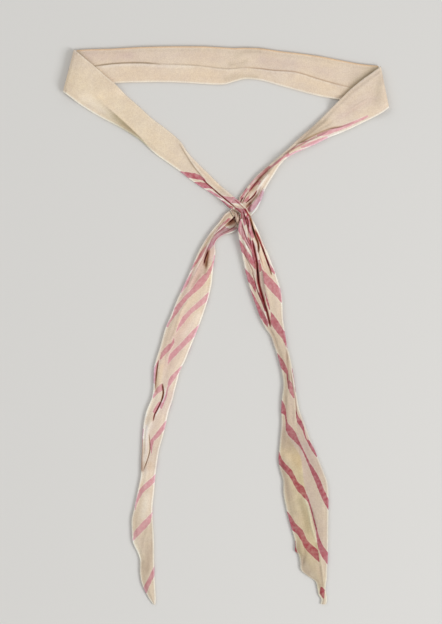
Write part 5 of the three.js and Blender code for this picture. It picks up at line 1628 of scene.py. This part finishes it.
        scale = WAVE_PITCH / self.thread_pitch
        warp, weft = (nodes.threads(cloth, direction, scale) for direction in "XY")
        height = warp * 0.5 + weft * 0.5 + grain * 1.2 + mottle * 0.9
        relief = {"Strength": 0.5, "Distance": self.bump_height, "Height": height}
        bump = nodes.node("ShaderNodeBump", {}, relief)
        nodes.feed(shader.inputs["Normal"], bump.outputs[0])
        nodes.feed(shader.inputs["Roughness"], self.roughness + grain * 0.15)
        shader.inputs["Sheen Weight"].default_value = self.sheen
        shader.inputs["Sheen Tint"].default_value = (*self.sheen_tint, 1.0)
        shader.inputs["Sheen Roughness"].default_value = self.sheen_roughness
        shader.inputs["Specular IOR Level"].default_value = self.specular
        return made

    def tinted(self, nodes: Nodes, patch: Patch, place: Socket, colour: Socket) -> Socket:
        """Return a colour with a soft uneven tint multiplied into it."""
        amount = nodes.soft(nodes.noise(place, patch.scale, patch.detail), *patch.span)
        return nodes.mix("MULTIPLY", amount * patch.strength, colour, patch.tint)


@dataclass(frozen=True)
class Lamp:
    """A soft square light: where it hangs and its side in metres, and its power in watts."""

    name: str
    at: tuple[float, float, float]
    side: float
    power: float

    def hang(self) -> None:
        """Hang the light so that it points at the cravat."""
        data = bpy.data.lights.new(self.name, "AREA")
        data.size = self.side
        data.energy = self.power
        lamp = bpy.data.objects.new(self.name, data)
        lamp.location = self.at
        lamp.rotation_euler = (-Vector(self.at)).to_track_quat("-Z", "Y").to_euler()
        bpy.context.scene.collection.objects.link(lamp)


@dataclass
class Studio:
    """The pale floor, the soft light and the camera straight above, in metres.

    The picture's size and the tables' middle are in its pixels, and each pixel shows so many millimetres.
    """

    picture: tuple[int, int] = (442, 624)
    pixel: float = 0.7
    table_middle: Point = (226.0, 325.5)
    camera_height: float = 3.0
    sensor: float = 36.0
    view_end: float = 20.0
    floor_size: float = 4.0
    floor_drop: float = 0.0002
    floor_colour: Colour = (0.70, 0.695, 0.68)
    floor_roughness: float = 0.9
    lamps: tuple[Lamp, ...] = (
        Lamp("key", (1.5, -0.7, 1.3), 0.9, 24.0),
        Lamp("fill", (-1.4, 1.0, 1.6), 1.6, 9.0),
    )
    sky_colour: Colour = (1.0, 0.985, 0.96)
    sky_strength: float = 0.55

    def place_camera(self) -> None:
        """Put a long lens straight above the middle of the picture."""
        data = bpy.data.cameras.new("camera")
        camera = bpy.data.objects.new("camera", data)
        bpy.context.scene.collection.objects.link(camera)
        width, height = self.picture
        x = (width / 2 - self.table_middle[0]) * self.pixel * MM
        y = (self.table_middle[1] - height / 2) * self.pixel * MM
        camera.location = (x, y, self.camera_height)
        data.sensor_width = self.sensor
        data.lens = self.sensor * self.camera_height / (height * self.pixel * MM)
        data.clip_end = self.view_end
        bpy.context.scene.camera = camera

    def lay_floor(self) -> None:
        """Lay a plain pale floor under the cravat."""
        bm = bmesh.new()
        bmesh.ops.create_grid(bm, x_segments=1, y_segments=1, size=self.floor_size / 2)
        bmesh.ops.translate(bm, verts=bm.verts, vec=Vector((0.0, 0.0, -self.floor_drop)))
        mesh = bpy.data.meshes.new("floor")
        bm.to_mesh(mesh)
        bm.free()
        floor = bpy.data.objects.new("floor", mesh)
        bpy.context.scene.collection.objects.link(floor)
        made = bpy.data.materials.new("floor_paper")
        made.use_nodes = True
        shader = made.node_tree.nodes["Principled BSDF"]
        shader.inputs["Base Color"].default_value = (*self.floor_colour, 1.0)
        shader.inputs["Roughness"].default_value = self.floor_roughness
        mesh.materials.append(made)

    def build(self) -> None:
        """Set the whole studio up."""
        self.place_camera()
        self.lay_floor()
        for lamp in self.lamps:
            lamp.hang()
        world = bpy.data.worlds.new("studio")
        world.use_nodes = True
        sky = world.node_tree.nodes["Background"]
        sky.inputs["Color"].default_value = (*self.sky_colour, 1.0)
        sky.inputs["Strength"].default_value = self.sky_strength
        bpy.context.scene.world = world
        bpy.context.scene.view_settings.view_transform = "Standard"


@dataclass
class Cravat:
    """The whole cravat: the three runs of its cloth and the stretches that show."""

    band: Cloth = field(default_factory=lambda: Cloth(BAND_FOLDS, BAND_SHADES, seed=3))
    upper: Cloth = field(default_factory=lambda: Cloth(UPPER_FOLDS, UPPER_SHADES, UPPER_STRIPES, seed=5))
    lower: Cloth = field(default_factory=lambda: Cloth(LOWER_FOLDS, LOWER_SHADES, LOWER_STRIPES, seed=8))

    def neckband(self) -> list[Stretch]:
        """Set out the band.

        Returns:
            The band behind the neck, and the two arms that turn over its ends.
        """
        back = Stretch(
            "neckband_back", BAND_SECTIONS, self.band, "silk_plain", (0.025, 0.222), row_step=0.9,
            rims=(ShadingTint.TAN, ShadingTint.BRIGHT), rim_strength=(0.5, 0.8), under_stripes=False,
        )
        arm = {
            "slot": "silk_plain",
            "rests_on": ("neckband_back_silk",),
            "inner_side": Side.FOLDED,
            "outer_side": Side.LAYERED,
            "rims": (ShadingTint.PALE, ShadingTint.BRIGHT),
            "turns": True,
            "under_stripes": False,
        }
        left = Stretch(
            "neckband_left", LEFT_ARM_SECTIONS, self.upper, flat=(0.022, 0.158), gather_share=0.3, **arm
        )
        right = Stretch(
            "neckband_right", RIGHT_ARM_SECTIONS, self.lower, flat=(0.018, 0.142), gather_least=0.2, **arm
        )
        return [back, left, right]

    def knot(self) -> list[Stretch]:
        """Set out the half knot.

        Returns:
            The three strands that show of it.
        """
        over = Stretch(
            "knot_over", KNOT_OVER_SECTIONS, self.upper, "silk_striped", (0.012, 0.016), area=0.00017,
            rests_on=("knot_under_silk",), outer_side=Side.LAYERED, row_step=0.3,
            rims=(ShadingTint.CREAM, ShadingTint.CREAM), rim_strength=(0.5, 0.5),
        )
        wrap = Stretch(
            "knot_wrap", KNOT_WRAP_SECTIONS, self.upper, "silk_striped", (0.010, 0.010), area=0.00004,
            rests_on=("knot_under_silk",), inner_side=Side.FOLDED, row_step=0.25, top_columns=20,
            rims=(ShadingTint.WINE, ShadingTint.WINE), rim_strength=(0.4, 0.4),
        )
        under = Stretch(
            "knot_under", KNOT_UNDER_SECTIONS, self.lower, "silk_striped", (0.0145, 0.0125), area=0.00018,
            inner_side=Side.FOLDED, row_step=0.4,
        )
        return [over, wrap, under]

    def tails(self) -> list[Stretch]:
        """Set out the tails.

        Returns:
            The two tails, which get darker towards their tips.
        """
        left = Stretch(
            "tail_left", LEFT_TAIL_SECTIONS, self.lower, "silk_striped", (0.0172, 0.290), top_columns=58,
            age=0.7, darkening_run=(0.62, 0.92),
        )
        right = Stretch(
            "tail_right", RIGHT_TAIL_SECTIONS, self.upper, "silk_striped", (0.0190, 0.280), top_columns=74,
            row_step=0.62, outer_side=Side.LAYERED, age=1.0, darkening_run=(0.05, 0.42),
        )
        return [left, right]

    def build(self) -> None:
        """Build and dress every stretch."""
        silk = Silk().material()
        for stretch in (*self.neckband(), *self.knot(), *self.tails()):
            stretch.build(silk)


def main() -> None:
    """Build the cravat and its studio."""
    logging.basicConfig(level=logging.INFO, format="%(name)s: %(message)s")
    Cravat().build()
    Studio().build()
    bpy.context.view_layer.update()


if __name__ == "__main__":
    main()
